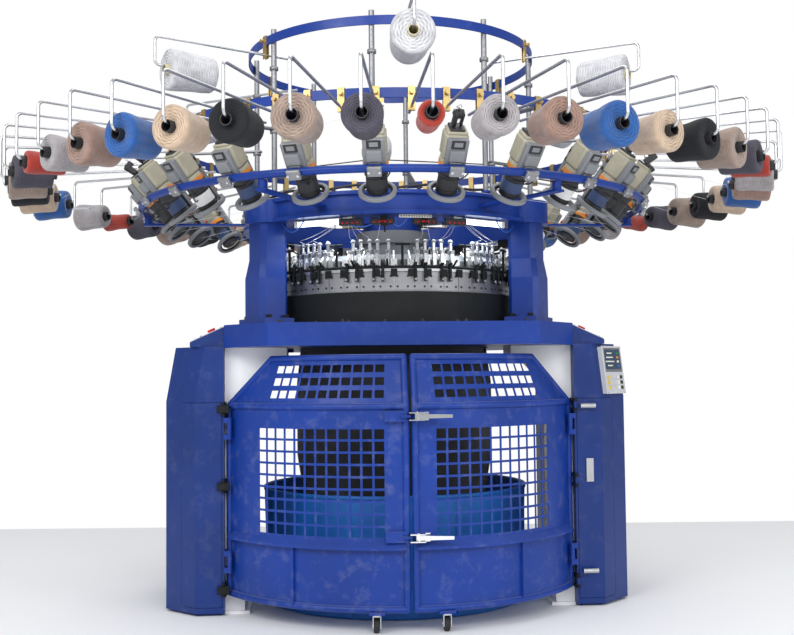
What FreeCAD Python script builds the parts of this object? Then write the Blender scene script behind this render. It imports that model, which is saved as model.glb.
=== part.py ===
"""Large-diameter circular knitting machine with an overhead ring creel.

The frame has its origin on the needle cylinder's axis at floor level. +Z is up, -Y is the front
with the two safety doors, and +X is the right-hand side as the operator sees it.

Anything that repeats round the machine is built once on the +X axis and then turned to its bearing.
A bearing is counted in degrees from the front, positive towards the right-hand side.
"""
import FreeCAD, Part
import math
import os

# ---- Driving dimensions, in millimetres ----------------------------------------------------------

RUNNING_GAP = 0.3  # between a soft or moving face and its neighbour
PIN_FIT = 0.05  # radial clearance of a pin in its bore

# Needle cylinder and the rings round it
CYLINDER_RADIUS = 483.0  # outside of a 38 inch needle cylinder
CYLINDER_WALL = 22.0
CYLINDER_BOTTOM = 1300.0
CYLINDER_TOP = 1600.0
CAM_RING_RADIUS = 600.0
CAM_RING_BOTTOM = 1480.0
CAM_RING_TOP = 1590.0
GEAR_COVER_RADIUS = 622.0
GEAR_COVER_WALL = 12.0
SINKER_RING_INNER = 430.0
SINKER_RING_OUTER = 556.0
SINKER_RING_TOP = 1662.0

# Drive train under the cylinder
GEAR_MODULE = 5.0
MAIN_GEAR_TEETH = 200
PINION_TEETH = 20
GEAR_WIDTH = 34.0
DRIVE_SHAFT_RADIUS = 16.0
DRIVE_PULLEY_RADIUS = 36.0
MOTOR_PULLEY_RADIUS = 36.0
PULLEY_WIDTH = 30.0
PULLEY_LEVEL = 1150.0
MOTOR_X = -960.0
BELT_THICKNESS = 6.0

# Bed, legs and columns
BED_BOTTOM = 1235.0
BED_TOP = 1340.0
BED_BORE_RADIUS = 545.0
BED_FRONT = 700.0
BED_FRONT_HALF_WIDTH = 615.0
BED_SIDE = 826.0
LEG_WIDTH = 90.0
LEG_DEPTH = 210.0
LEG_FRONT_Y = -395.0
LEG_HEAD_WIDTH = 290.0
LEG_HEAD_DROP = 190.0
FOOT_PLATE = 14.0
COLUMN_FOOT_RADIUS = 790.0
COLUMN_HEAD_RADIUS = 745.0
COLUMN_WIDTH = 186.0
COLUMN_NECK_WIDTH = 158.0
COLUMN_DEPTH = 150.0
COLUMN_FLANGE = 32.0
COLUMN_BEARINGS = (-60.0, 60.0, 180.0)

# Upper plate and what stands on it
PLATE_BOTTOM = 1822.0
PLATE_TOP = 1930.0
PLATE_RADIUS = 760.0
PLATE_BORE = 640.0
PLATE_FLANGE = 16.0
EAR_RADIUS = 118.0
HUB_RADIUS = 150.0
SPOKE_WIDTH = 90.0
DRUM_RADIUS = 185.0
DRUM_BOTTOM = 1690.0

# Cabinets at the two sides
CABINET_FRONT_Y = -450.0
CABINET_BACK_Y = 450.0
CABINET_OUTER = 1110.0
CABINET_CHAMFER = 150.0
CABINET_TOP = 1240.0
CABINET_KNEE = 985.0
CABINET_LEAN = 45.0
CABINET_FLOOR_GAP = 12.0
SHEET = 3.0
DOOR_SEAM = 2.0
SLOPE_HIGH = 1334.0
SLOPE_LOW = 1262.0
SLOPE_WIDTH = 160.0
SLOPE_LENGTH = 220.0
SLOPE_MIDDLE_Y = -315.0
PLATE_SHEET = 4.0
BUTTON_TRAVEL = 5.0
BUTTONS = ((-40.0, 66.0, 11.0), (20.0, 66.0, 8.0))  # along, down the slope, stem radius
DISPLAY_WIDTH = 176.0
DISPLAY_HEIGHT = 226.0

# Safety doors
DOOR_RADIUS = 905.0
DOOR_TUBE = 15.0
DOOR_BOTTOM = 103.0
DOOR_SHELF = 365.0
DOOR_WAIST = 965.0
DOOR_TOP = 1178.0
DOOR_LEAN = 85.0
DOOR_SPLIT_HALF = 20.0
DOOR_END_BEARING = 62.5
DOOR_TOP_BEARING = 47.0
DOOR_SHEET = 2.5
DOOR_WELD = 0.3  # corner welds stand this far proud at the split, and lie this far below at the hinges
MESH_PITCH = 52.5
MESH_HOLE = 42.5
MESH_COLUMNS = 12
MESH_ROWS = 9
MESH_DROP = 92.0  # from the waist rail's middle to the first row of holes
MESH_MARGIN = 88.0  # solid strip beside the split
HEAD_MESH_BEARING = 44.5
HINGE_X = 800.0
HINGE_Y = -470.0
HINGE_PIN = 7.0
HINGE_SLEEVE = 12.0
HINGE_LEVELS = (250.0, 860.0)
HINGE_BRACKET = 6.0
CABINET_HINGE_LEVELS = (121.0, 594.0, 950.0)

LATCH_PIVOT_X = 26.0
LATCH_JAW_GAP = 26.0
LATCH_LENGTH = 150.0

# Casters under the doors
CASTER_BEARING = 9.6
CASTER_WHEEL = 33.0
CASTER_TREAD = 24.0
CASTER_OFFSET = 26.0
CASTER_AXLE = 5.0

# Creel
FEEDER_RING_RADIUS = 1257.0
FEEDER_RING_TUBE = 17.0
FEEDER_COUNT = 24
FEEDER_TILT = 50.0
CREEL_RING_RADIUS = 1124.0
CREEL_RING_LEVEL = 2272.0
CREEL_STRIP_WIDTH = 8.0
CREEL_STRIP_HEIGHT = 42.0
UPPER_RING_RADIUS = 726.0
UPPER_RING_LEVEL = 2710.0
POST_COUNT = 8
POST_FIRST_BEARING = -56.25
POST_RADIUS = 13.0
CANISTER_BEARING = -11.25
ROD_RADIUS = 6.5
ROD_BEND = 24.0
ROD_LEVEL = 2215.0
ROD_INNER_END = 1010.0
ROD_OUTER_END = 1900.0
CONE_COUNT = 48
CONE_RADIUS_FROM_AXIS = 1780.0
CONE_LENGTH = 170.0
CONE_LEVEL = 2010.0
CORE_INNER = 20.0
CORE_WALL = 3.0
CORE_LENGTH = 205.0
EMPTY_HOOK = 34  # position of the hook that carries no cone
WHITE_COUNT = 6
WHITE_ROD_LEVEL = 2645.0
WHITE_ROD_INNER_END = 560.0
WHITE_ROD_OUTER_END = 1290.0
WHITE_RADIUS_FROM_AXIS = 1120.0
WHITE_LEVEL = 2500.0
WHITE_RADIUS = 95.0
WHITE_LENGTH = 225.0

# One yarn after another round the creel, to the right from the front: name and base radius
YARNS = (
    ("red", 50.0),
    ("light_grey", 78.0),
    ("brown", 86.0),
    ("blue", 88.0),
    ("beige", 86.0),
    ("black", 84.0),
    ("light_brown", 88.0),
    ("dark_grey", 76.0),
)

X, Y, Z = FreeCAD.Vector(1, 0, 0), FreeCAD.Vector(0, 1, 0), FreeCAD.Vector(0, 0, 1)
ORIGIN = FreeCAD.Vector(0, 0, 0)


# ---- Shapes that every sub-part uses -------------------------------------------------------------

def vector(x, y, z=0.0):
    return FreeCAD.Vector(x, y, z)


def at_bearing(shape, bearing):
    """A copy of a shape that was built on the +X axis, turned to its bearing."""
    copy = shape.copy()
    copy.rotate(ORIGIN, Z, bearing - 90.0)
    return copy


def on_circle(radius, bearing, level):
    angle = math.radians(bearing - 90.0)
    return vector(radius * math.cos(angle), radius * math.sin(angle), level)


def mirrored(shape):
    """The same shape on the other side of the machine's middle plane."""
    return shape.mirror(ORIGIN, X)


def prism(points, low, high):
    """An upright prism on a closed outline of (x, y) points."""
    corners = [vector(x, y, low) for x, y in points]
    face = Part.Face(Part.makePolygon(corners + corners[:1]))
    return face.extrude(vector(0, 0, high - low))


def turned(points, start=0.0, sweep=360.0):
    """A profile of (radius, z) points turned about the machine's axis."""
    corners = [vector(r, 0, z) for r, z in points]
    face = Part.Face(Part.makePolygon(corners + corners[:1]))
    face.rotate(ORIGIN, Z, start)
    return face.revolve(ORIGIN, Z, sweep)


def ring(inner, outer, low, high, start=0.0, sweep=360.0):
    return turned([(inner, low), (outer, low), (outer, high), (inner, high)], start, sweep)


def hoop(radius, level, tube, start=0.0, sweep=360.0):
    """A round tube bent to a circle, or to part of one."""
    circle = Part.Wire(Part.makeCircle(tube, vector(radius, 0, level), Y))
    face = Part.Face(circle)
    face.rotate(ORIGIN, Z, start)
    return face.revolve(ORIGIN, Z, sweep)


def rod(start, end, radius):
    """A straight round bar between two points."""
    run = end - start
    return Part.makeCylinder(radius, run.Length, start, run)


def block(size_x, size_y, size_z, centre):
    corner = centre - vector(size_x / 2, size_y / 2, size_z / 2)
    return Part.makeBox(size_x, size_y, size_z, corner)


def fused(shapes):
    return shapes[0].multiFuse(list(shapes[1:])).removeSplitter()


def group(shapes):
    return Part.makeCompound(list(shapes))


def spaced(shape, bearings):
    return group([at_bearing(shape, bearing) for bearing in bearings])


def even(count, first=0.0):
    return [first + k * 360.0 / count for k in range(count)]


# ---- Bed, legs and columns -----------------------------------------------------------------------

def bed_plate():
    """The thick table that carries the knitting head, with chamfered corners and a bevelled rim."""
    back = BED_FRONT - 60.0
    outline = [
        (-BED_FRONT_HALF_WIDTH, -BED_FRONT),
        (BED_FRONT_HALF_WIDTH, -BED_FRONT),
        (BED_SIDE, CABINET_FRONT_Y),
        (BED_SIDE, -CABINET_FRONT_Y),
        (BED_FRONT_HALF_WIDTH - 260.0, back + 240.0),
        (-BED_FRONT_HALF_WIDTH + 260.0, back + 240.0),
        (-BED_SIDE, -CABINET_FRONT_Y),
        (-BED_SIDE, CABINET_FRONT_Y),
    ]
    plate = prism(outline, BED_BOTTOM, BED_TOP)
    plate = plate.cut(Part.makeCylinder(BED_BORE_RADIUS - 60.0, 200.0, vector(0, 0, BED_BOTTOM - 50)))
    shaft_x = -drive_centre()
    boss = Part.makeCylinder(DRIVE_SHAFT_RADIUS + 26.0, 20.0, vector(shaft_x, 0, BED_BOTTOM - 16.0))
    bore = Part.makeCylinder(DRIVE_SHAFT_RADIUS + PIN_FIT, 200.0, vector(shaft_x, 0, BED_BOTTOM - 50))
    return fused([plate, boss]).cut(bore)


def front_leg():
    """The right front leg: a narrow post with a wide arched head and a foot plate."""
    inner = BED_SIDE - LEG_WIDTH
    head_inner = BED_SIDE - LEG_HEAD_WIDTH
    shoulder = BED_BOTTOM - LEG_HEAD_DROP
    outline = [
        (BED_SIDE, FOOT_PLATE),
        (BED_SIDE, BED_BOTTOM),
        (head_inner, BED_BOTTOM),
        (head_inner, BED_BOTTOM - 40.0),
        (head_inner + 90.0, BED_BOTTOM - 75.0),
        (inner - 45.0, shoulder + 45.0),
        (inner, shoulder),
        (inner, FOOT_PLATE),
    ]
    corners = [vector(x, LEG_FRONT_Y, z) for x, z in outline]
    face = Part.Face(Part.makePolygon(corners + corners[:1]))
    post = face.extrude(vector(0, LEG_DEPTH, 0))
    foot = Part.makeBox(
        LEG_WIDTH + 24.0, LEG_DEPTH + 30.0, FOOT_PLATE, vector(inner - 24.0, LEG_FRONT_Y - 15.0, 0)
    )
    return fused([post, foot])


def back_leg():
    """The single leg behind the machine, under the rear column."""
    depth = 150.0
    post = block(240.0, depth, BED_BOTTOM - FOOT_PLATE, vector(0, 780.0, (BED_BOTTOM + FOOT_PLATE) / 2))
    foot = block(300.0, depth + 60.0, FOOT_PLATE, vector(0, 780.0, FOOT_PLATE / 2))
    return fused([post, foot])


def column_section(radius, width, depth, level):
    """A rectangle with cut corners, across a column at one level."""
    half_w, half_d, cut = width / 2, depth / 2, 22.0
    points = [
        (half_d, half_w - cut), (half_d, cut - half_w), (half_d - cut, -half_w), (cut - half_d, -half_w),
        (-half_d, cut - half_w), (-half_d, half_w - cut), (cut - half_d, half_w), (half_d - cut, half_w),
    ]
    corners = [vector(radius + x, y, level) for x, y in points]
    return Part.makePolygon(corners + corners[:1])


def column():
    """A cast box column on the +X axis that leans in above its waist."""
    foot_level = BED_TOP + COLUMN_FLANGE
    waist = foot_level + 190.0
    neck = waist + 90.0
    lower = Part.makeLoft([
        column_section(COLUMN_FOOT_RADIUS - 60.0, COLUMN_WIDTH, COLUMN_DEPTH, BED_TOP),
        column_section(COLUMN_FOOT_RADIUS - 60.0, COLUMN_WIDTH, COLUMN_DEPTH, waist),
    ], True, True)
    bend = Part.makeLoft([
        column_section(COLUMN_FOOT_RADIUS - 60.0, COLUMN_WIDTH, COLUMN_DEPTH, waist),
        column_section(COLUMN_HEAD_RADIUS - 25.0, COLUMN_NECK_WIDTH, COLUMN_DEPTH - 10.0, neck),
    ], True, True)
    upper = Part.makeLoft([
        column_section(COLUMN_HEAD_RADIUS - 25.0, COLUMN_NECK_WIDTH, COLUMN_DEPTH - 10.0, neck),
        column_section(COLUMN_HEAD_RADIUS - 25.0, COLUMN_NECK_WIDTH, COLUMN_DEPTH - 10.0, PLATE_BOTTOM),
    ], True, True)
    flange = block(
        COLUMN_DEPTH + 6.0, COLUMN_WIDTH + 76.0, COLUMN_FLANGE,
        vector(COLUMN_FOOT_RADIUS - 60.0, 0, BED_TOP + COLUMN_FLANGE / 2),
    )
    return fused([lower, bend, upper, flange])


def column_bolts():
    """Hexagon bolts on every column's foot flange."""
    bolts = []
    head = hexagon(15.0, BED_TOP + COLUMN_FLANGE, 15.0)
    across = (COLUMN_WIDTH + 38.0) / 2
    for bearing in COLUMN_BEARINGS:
        for side in (-1, 1):
            for step in (-45.0, 45.0):
                bolt = head.copy()
                bolt.translate(vector(COLUMN_FOOT_RADIUS - 60.0 + step, side * across, 0))
                bolts.append(at_bearing(bolt, bearing))
    return group(bolts)


def hexagon(radius, low, height):
    corners = [
        vector(radius * math.cos(math.radians(60 * k)), radius * math.sin(math.radians(60 * k)), low)
        for k in range(6)
    ]
    return Part.Face(Part.makePolygon(corners + corners[:1])).extrude(vector(0, 0, height))


# ---- Knitting head -------------------------------------------------------------------------------

def drive_centre():
    """Distance between the main gear's axis and the pinion's."""
    return GEAR_MODULE * (MAIN_GEAR_TEETH + PINION_TEETH) / 2


def gear_disc(teeth, low, high, phase):
    """A spur gear blank with straight-flanked teeth; one tooth is centred at the phase angle."""
    pitch = GEAR_MODULE * teeth / 2
    tip, root = pitch + GEAR_MODULE, pitch - 1.25 * GEAR_MODULE
    step = 2 * math.pi / teeth
    half_root = 0.95 * GEAR_MODULE / root
    half_tip = 0.26 * GEAR_MODULE / tip
    corners = []
    for k in range(teeth):
        middle = math.radians(phase) + k * step
        for radius, offset in (
            (root, -half_root), (tip, -half_tip), (tip, half_tip), (root, half_root),
        ):
            angle = middle + offset
            corners.append(vector(radius * math.cos(angle), radius * math.sin(angle), low))
    face = Part.Face(Part.makePolygon(corners + corners[:1]))
    return face.extrude(vector(0, 0, high - low))


def gear_levels():
    low = BED_TOP + RUNNING_GAP
    return low, low + GEAR_WIDTH


def needle_cylinder():
    """The rotating cylinder: its toothed foot runs on the bed and its slotted wall carries needles."""
    low, high = gear_levels()
    inner = CYLINDER_RADIUS - CYLINDER_WALL
    foot = gear_disc(MAIN_GEAR_TEETH, low, high, 0.0)
    foot = foot.cut(Part.makeCylinder(inner, 200.0, vector(0, 0, low - 50)))
    wall = turned([
        (inner, CYLINDER_BOTTOM), (CYLINDER_RADIUS - 0.5, CYLINDER_BOTTOM), (CYLINDER_RADIUS - 0.5, CYLINDER_TOP - 8),
        (CYLINDER_RADIUS - 6.0, CYLINDER_TOP), (inner, CYLINDER_TOP),
    ])
    return fused([foot, wall])


def cam_ring():
    """The fixed ring of cam boxes round the cylinder, on a spigot over the gear cover."""
    bore = CYLINDER_RADIUS + 1.5
    return turned([
        (bore, CAM_RING_BOTTOM), (CAM_RING_RADIUS, CAM_RING_BOTTOM), (CAM_RING_RADIUS, CAM_RING_TOP - 14),
        (CAM_RING_RADIUS + 9, CAM_RING_TOP - 14), (CAM_RING_RADIUS + 9, CAM_RING_TOP),
        (bore, CAM_RING_TOP),
    ])


def gear_cover():
    """The dark guard round the main gear, with an inward top flange under the cam ring."""
    inner = GEAR_COVER_RADIUS - GEAR_COVER_WALL
    return turned([
        (inner, BED_TOP), (GEAR_COVER_RADIUS, BED_TOP), (GEAR_COVER_RADIUS, CAM_RING_BOTTOM),
        (CYLINDER_RADIUS + 22.0, CAM_RING_BOTTOM), (CYLINDER_RADIUS + 22.0, CAM_RING_BOTTOM - 16.0),
        (inner, CAM_RING_BOTTOM - 16.0),
    ])


def sinker_ring():
    """The fixed sinker cap ring over the cylinder's rim."""
    step = CYLINDER_TOP + 4.0
    return turned([
        (SINKER_RING_OUTER - 34.0, CAM_RING_TOP), (SINKER_RING_OUTER, CAM_RING_TOP),
        (SINKER_RING_OUTER, SINKER_RING_TOP - 26.0), (SINKER_RING_OUTER - 40.0, SINKER_RING_TOP),
        (SINKER_RING_INNER, SINKER_RING_TOP), (SINKER_RING_INNER, step),
        (SINKER_RING_OUTER - 34.0, step),
    ])


def yarn_guides():
    """Yarn guide blocks with a finger each, on the outer edge of the sinker ring."""
    base = block(34.0, 30.0, 46.0, vector(576.0, 0, CAM_RING_TOP + 23.0))
    arm = rod(vector(576.0, 0, CAM_RING_TOP + 40.0), vector(528.0, 0, SINKER_RING_TOP + 16.0), 5.0)
    return spaced(fused([base, arm]), even(FEEDER_COUNT * 2, 3.75))


def cam_levers():
    """Stitch levers in pairs and the taller T posts between them, standing on the cam ring."""
    shapes = []
    for bearing in even(FEEDER_COUNT, 7.5):
        lever = rod(vector(600.0, 10.0, CAM_RING_TOP + 8.0), vector(640.0, 10.0, CAM_RING_TOP + 36.0), 5.0)
        foot = block(12.0, 34.0, 14.0, vector(600.5, 0, CAM_RING_TOP + 7.0))
        shapes.append(at_bearing(fused([lever, foot]), bearing))
    for bearing in even(12, 0.0):
        stem = rod(vector(602.0, 0, CAM_RING_TOP), vector(602.0, 0, CAM_RING_TOP + 118.0), 6.0)
        bar = rod(vector(602.0, -34.0, CAM_RING_TOP + 112.0), vector(602.0, 34.0, CAM_RING_TOP + 112.0), 6.0)
        shapes.append(at_bearing(fused([stem, bar]), bearing))
    return group(shapes)


def drive_shaft():
    """Pinion, shaft and pulley in one piece, left of the cylinder."""
    low, high = gear_levels()
    centre = vector(-drive_centre(), 0, 0)
    phase = 180.0 / PINION_TEETH
    pinion = gear_disc(PINION_TEETH, low, high, phase)
    pinion.translate(centre)
    shaft = Part.makeCylinder(DRIVE_SHAFT_RADIUS, high - PULLEY_LEVEL, vector(centre.x, 0, PULLEY_LEVEL))
    pulley = Part.makeCylinder(DRIVE_PULLEY_RADIUS, PULLEY_WIDTH, vector(centre.x, 0, PULLEY_LEVEL))
    return fused([pinion, shaft, pulley])


def drive_motor():
    """The motor, upright in the left cabinet on a bracket from the cabinet's inner wall."""
    body = Part.makeCylinder(85.0, 270.0, vector(MOTOR_X, 0, PULLEY_LEVEL - 300.0))
    face_plate = Part.makeCylinder(100.0, 14.0, vector(MOTOR_X, 0, PULLEY_LEVEL - 34.0))
    bracket = Part.makeBox(
        -BED_SIDE - SHEET - MOTOR_X, 150.0, 14.0, vector(MOTOR_X, -75.0, PULLEY_LEVEL - 34.0)
    )
    shaft_hole = Part.makeCylinder(14.0 + PIN_FIT, 60.0, vector(MOTOR_X, 0, PULLEY_LEVEL - 70.0))
    return fused([body, face_plate, bracket]).cut(shaft_hole)


def motor_pulley():
    base = vector(MOTOR_X, 0, PULLEY_LEVEL)
    wheel = Part.makeCylinder(MOTOR_PULLEY_RADIUS, PULLEY_WIDTH, base)
    shaft = Part.makeCylinder(14.0, 80.0, base - vector(0, 0, 60.0))
    return fused([wheel, shaft])


def drive_belt():
    """The belt round both pulleys, a running gap outside them."""
    def loop(extra):
        near = MOTOR_PULLEY_RADIUS + extra
        far = DRIVE_PULLEY_RADIUS + extra
        span = -drive_centre() - MOTOR_X
        lean = math.acos((near - far) / span)
        points = []
        for centre, radius, side in ((MOTOR_X, near, 1), (-drive_centre(), far, 1)):
            points.append(vector(
                centre + radius * math.cos(lean), side * radius * math.sin(lean), PULLEY_LEVEL + 4.0
            ))
        upper_a, upper_b = points
        lower_a, lower_b = vector(upper_a.x, -upper_a.y, upper_a.z), vector(upper_b.x, -upper_b.y, upper_b.z)
        far_point = vector(-drive_centre() + far, 0, upper_a.z)
        near_point = vector(MOTOR_X - near, 0, upper_a.z)
        wire = Part.Wire([
            Part.makeLine(upper_a, upper_b),
            Part.Arc(upper_b, far_point, lower_b).toShape(),
            Part.makeLine(lower_b, lower_a),
            Part.Arc(lower_a, near_point, upper_a).toShape(),
        ])
        return Part.Face(wire).extrude(vector(0, 0, PULLEY_WIDTH - 8.0))
    return loop(RUNNING_GAP + BELT_THICKNESS).cut(loop(RUNNING_GAP))


def fabric_tube():
    """The knitted tube that hangs from the cylinder into the tub; a plain thick-walled sleeve."""
    wall = 4.0
    outer = [
        (CYLINDER_RADIUS - 4.0, CYLINDER_BOTTOM), (CYLINDER_RADIUS - 4.0, BED_BOTTOM - 20.0),
        (CYLINDER_RADIUS + 16.0, 1060.0), (500.0, 700.0), (430.0, 260.0),
    ]
    inner = [(r - wall, z) for r, z in outer]
    return turned(outer + inner[::-1])


def fabric_tub():
    """The low round tub that catches the fabric; it stands on the floor."""
    height, radius, wall = 556.0, 662.0, 5.0
    return turned([
        (0, 0), (radius - 8, 0), (radius, height), (radius - wall, height), (radius - 8 - wall, wall), (0, wall),
    ])


# ---- Upper plate ---------------------------------------------------------------------------------

def upper_plate():
    """The flanged ring on the three columns, with ears, three spokes and a hub."""
    rim = PLATE_RADIUS - 22.0
    body = turned([
        (PLATE_BORE, PLATE_BOTTOM), (PLATE_RADIUS, PLATE_BOTTOM), (PLATE_RADIUS, PLATE_BOTTOM + PLATE_FLANGE),
        (rim, PLATE_BOTTOM + PLATE_FLANGE), (rim, PLATE_TOP - PLATE_FLANGE), (PLATE_RADIUS, PLATE_TOP - PLATE_FLANGE),
        (PLATE_RADIUS, PLATE_TOP), (PLATE_BORE, PLATE_TOP),
    ])
    height = PLATE_TOP - PLATE_BOTTOM
    pieces = [body]
    for bearing in COLUMN_BEARINGS:
        ear = Part.makeCylinder(EAR_RADIUS, height, vector(COLUMN_HEAD_RADIUS - 35.0, 0, PLATE_BOTTOM))
        spoke = block(PLATE_BORE - HUB_RADIUS + 60.0, SPOKE_WIDTH, 60.0,
                      vector((PLATE_BORE + HUB_RADIUS) / 2, 0, PLATE_TOP - 40.0))
        pieces += [at_bearing(ear, bearing), at_bearing(spoke, bearing)]
    pieces.append(Part.makeCylinder(HUB_RADIUS, height, vector(0, 0, PLATE_BOTTOM)))
    return fused(pieces)


def centre_drum():
    """The stepped grey drum under the hub."""
    return turned([
        (0, DRUM_BOTTOM), (DRUM_RADIUS - 20, DRUM_BOTTOM), (DRUM_RADIUS - 20, DRUM_BOTTOM + 70),
        (DRUM_RADIUS, DRUM_BOTTOM + 70), (DRUM_RADIUS, PLATE_BOTTOM), (0, PLATE_BOTTOM),
    ])


def strip_lights():
    """Two tube lights under the plate's front spokes, with their end holders."""
    lights = []
    for bearing in (-32.0, 32.0):
        tube = rod(vector(676.0, -150.0, PLATE_BOTTOM - 20.0), vector(676.0, 150.0, PLATE_BOTTOM - 20.0), 11.0)
        ends = [block(32.0, 22.0, 38.0, vector(676.0, s * 150.0, PLATE_BOTTOM - 19.0)) for s in (-1, 1)]
        lights.append(at_bearing(fused([tube] + ends), bearing))
    return group(lights)


def stop_motion_boxes():
    """Yarn break detectors on the plate's underside, between the columns and the lights."""
    box = block(64.0, 30.0, 44.0, vector(PLATE_BORE + 42.0, 0, PLATE_BOTTOM - 22.0))
    arm = rod(vector(PLATE_BORE + 20.0, 0, PLATE_BOTTOM - 36.0), vector(PLATE_BORE - 30.0, 0, PLATE_BOTTOM - 62.0), 4.0)
    bearings = [b for b in even(FEEDER_COUNT, 7.5) if min(abs(b % 360 - c) for c in (32, 328, 60, 180, 300)) > 17]
    return spaced(fused([box, arm]), bearings)


# ---- Creel ---------------------------------------------------------------------------------------

def feeder_arms():
    """Flat beams from the upper plate out to the feeder ring."""
    level = PLATE_TOP - 60.0
    inner, outer = PLATE_RADIUS - 30.0, FEEDER_RING_RADIUS
    beam = block(outer - inner, 46.0, 10.0, vector((outer + inner) / 2, 0, level))
    saddle = Part.makeCylinder(20.0, PLATE_TOP - FEEDER_RING_TUBE - level, vector(outer - 20, 0, level))
    web = Part.makeCylinder(PLATE_RADIUS - 22.0, 200.0, vector(0, 0, level - 100.0))
    arm = fused([beam.cut(web), saddle.cut(hoop(FEEDER_RING_RADIUS, PLATE_TOP, FEEDER_RING_TUBE))])
    return spaced(arm, even(6, 30.0))


def feeder_frame():
    """Origin, direction towards the spool end, and up-normal of a yarn feeder on the +X axis."""
    tilt = math.radians(FEEDER_TILT)
    along = vector(-math.cos(tilt), 0, -math.sin(tilt))
    normal = vector(-math.sin(tilt), 0, math.cos(tilt))
    origin = vector(FEEDER_RING_RADIUS, 0, PLATE_TOP) + normal * 78.0
    return origin, along, normal


def feeder_box(length, width, height, start, lift=0.0):
    """A box along the feeder's own axis."""
    origin, along, normal = feeder_frame()
    box = Part.makeBox(length, width, height, vector(0, -width / 2, -height / 2))
    box.rotate(ORIGIN, Y, 180.0 - FEEDER_TILT)
    box.translate(origin + along * start + normal * lift)
    return box


def feeder_housing():
    body = feeder_box(172.0, 104.0, 92.0, -130.0)
    neck = feeder_box(26.0, 70.0, 70.0, 40.0)
    arm = feeder_box(150.0, 26.0, 10.0, 10.0, 60.0)
    pad = feeder_box(40.0, 26.0, 26.0, 4.0, 52.0)
    body = body.makeChamfer(8.0, body.Edges)
    return fused([body, neck, arm, pad])


def feeder_spool():
    origin, along, _ = feeder_frame()
    drum = Part.makeCylinder(45.0, 84.0, origin + along * 66.0, along)
    return fused([drum, Part.makeCylinder(50.0, 10.0, origin + along * 66.0, along)])


def feeder_ring_guide():
    """The wide balloon ring at the spool's end, held by the housing's arm."""
    origin, along, normal = feeder_frame()
    circle = Part.Wire(Part.makeCircle(5.0, origin + along * 152.0 + normal * 72.0, along.cross(normal)))
    return Part.Face(circle).revolve(origin + along * 152.0, along, 360.0)


def feeder_body():
    """The housing with its clamp block, bored for the ring tube."""
    clamp = feeder_box(50.0, 44.0, 74.0, -25.0, -69.0)
    return fused([feeder_housing(), clamp]).cut(hoop(FEEDER_RING_RADIUS, PLATE_TOP, FEEDER_RING_TUBE))


def feeder_bearings():
    return even(FEEDER_COUNT, 7.5)


def creel_posts():
    """Upright round posts from the upper plate to the upper ring."""
    radius = post_circle()
    post = rod(vector(radius, 0, PLATE_TOP), vector(radius, 0, UPPER_RING_LEVEL + 50.0), POST_RADIUS)
    return spaced(post.cut(strip_ring(UPPER_RING_RADIUS, UPPER_RING_LEVEL)), even(POST_COUNT, POST_FIRST_BEARING))


def post_circle():
    """Radius of the circle that the posts stand on: just inside the upper ring."""
    return UPPER_RING_RADIUS - POST_RADIUS - CREEL_STRIP_WIDTH / 2


def creel_arms():
    """Flat bars from the posts out to the creel ring."""
    inner = UPPER_RING_RADIUS - 2 * POST_RADIUS - 14.0
    outer = CREEL_RING_RADIUS - CREEL_STRIP_WIDTH / 2
    bar = block(outer - inner, 40.0, 8.0, vector((outer + inner) / 2, 0, CREEL_RING_LEVEL + 5.0))
    hole = Part.makeCylinder(POST_RADIUS, 60.0, vector(post_circle(), 0, CREEL_RING_LEVEL - 30.0))
    bar = bar.cut(hole).cut(strip_ring(CREEL_RING_RADIUS, CREEL_RING_LEVEL))
    return spaced(bar, even(POST_COUNT, POST_FIRST_BEARING))


def strip_ring(radius, level):
    half = CREEL_STRIP_WIDTH / 2
    return ring(radius - half, radius + half, level - CREEL_STRIP_HEIGHT / 2, level + CREEL_STRIP_HEIGHT / 2)


def hook_rod(inner, outer, level, cone_level, end):
    """A rod on the +X axis: out level, down, and back in to carry a cone."""
    bend = ROD_BEND
    drop_top = vector(outer, 0, level - bend)
    low = cone_level
    diagonal = bend * math.sqrt(0.5)
    start = vector(inner, 0, level)
    wire = Part.Wire([
        Part.makeLine(start, vector(outer - bend, 0, level)),
        Part.Arc(vector(outer - bend, 0, level),
                 vector(outer - bend + diagonal, 0, level - bend + diagonal), drop_top).toShape(),
        Part.makeLine(drop_top, vector(outer, 0, low + bend)),
        Part.Arc(vector(outer, 0, low + bend),
                 vector(outer - bend + diagonal, 0, low + bend - diagonal), vector(outer - bend, 0, low)).toShape(),
        Part.makeLine(vector(outer - bend, 0, low), vector(end, 0, low)),
    ])
    profile = Part.Wire(Part.makeCircle(ROD_RADIUS, start, X))
    return wire.makePipeShell([profile], True, False)


def rod_seat(cone_level):
    """Level of the rod's return leg: it carries the core by the inside of the core's top."""
    return cone_level + CORE_INNER - ROD_RADIUS - RUNNING_GAP


def cone_rods():
    shape = hook_rod(ROD_INNER_END, ROD_OUTER_END, ROD_LEVEL, rod_seat(CONE_LEVEL),
                     CONE_RADIUS_FROM_AXIS - CORE_LENGTH / 2 - 6.0)
    return spaced(shape, even(CONE_COUNT))


def white_cone_rods():
    shape = hook_rod(WHITE_ROD_INNER_END, WHITE_ROD_OUTER_END, WHITE_ROD_LEVEL, rod_seat(WHITE_LEVEL),
                     WHITE_RADIUS_FROM_AXIS - WHITE_LENGTH / 2 - 16.0)
    return spaced(shape, even(WHITE_COUNT))


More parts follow.
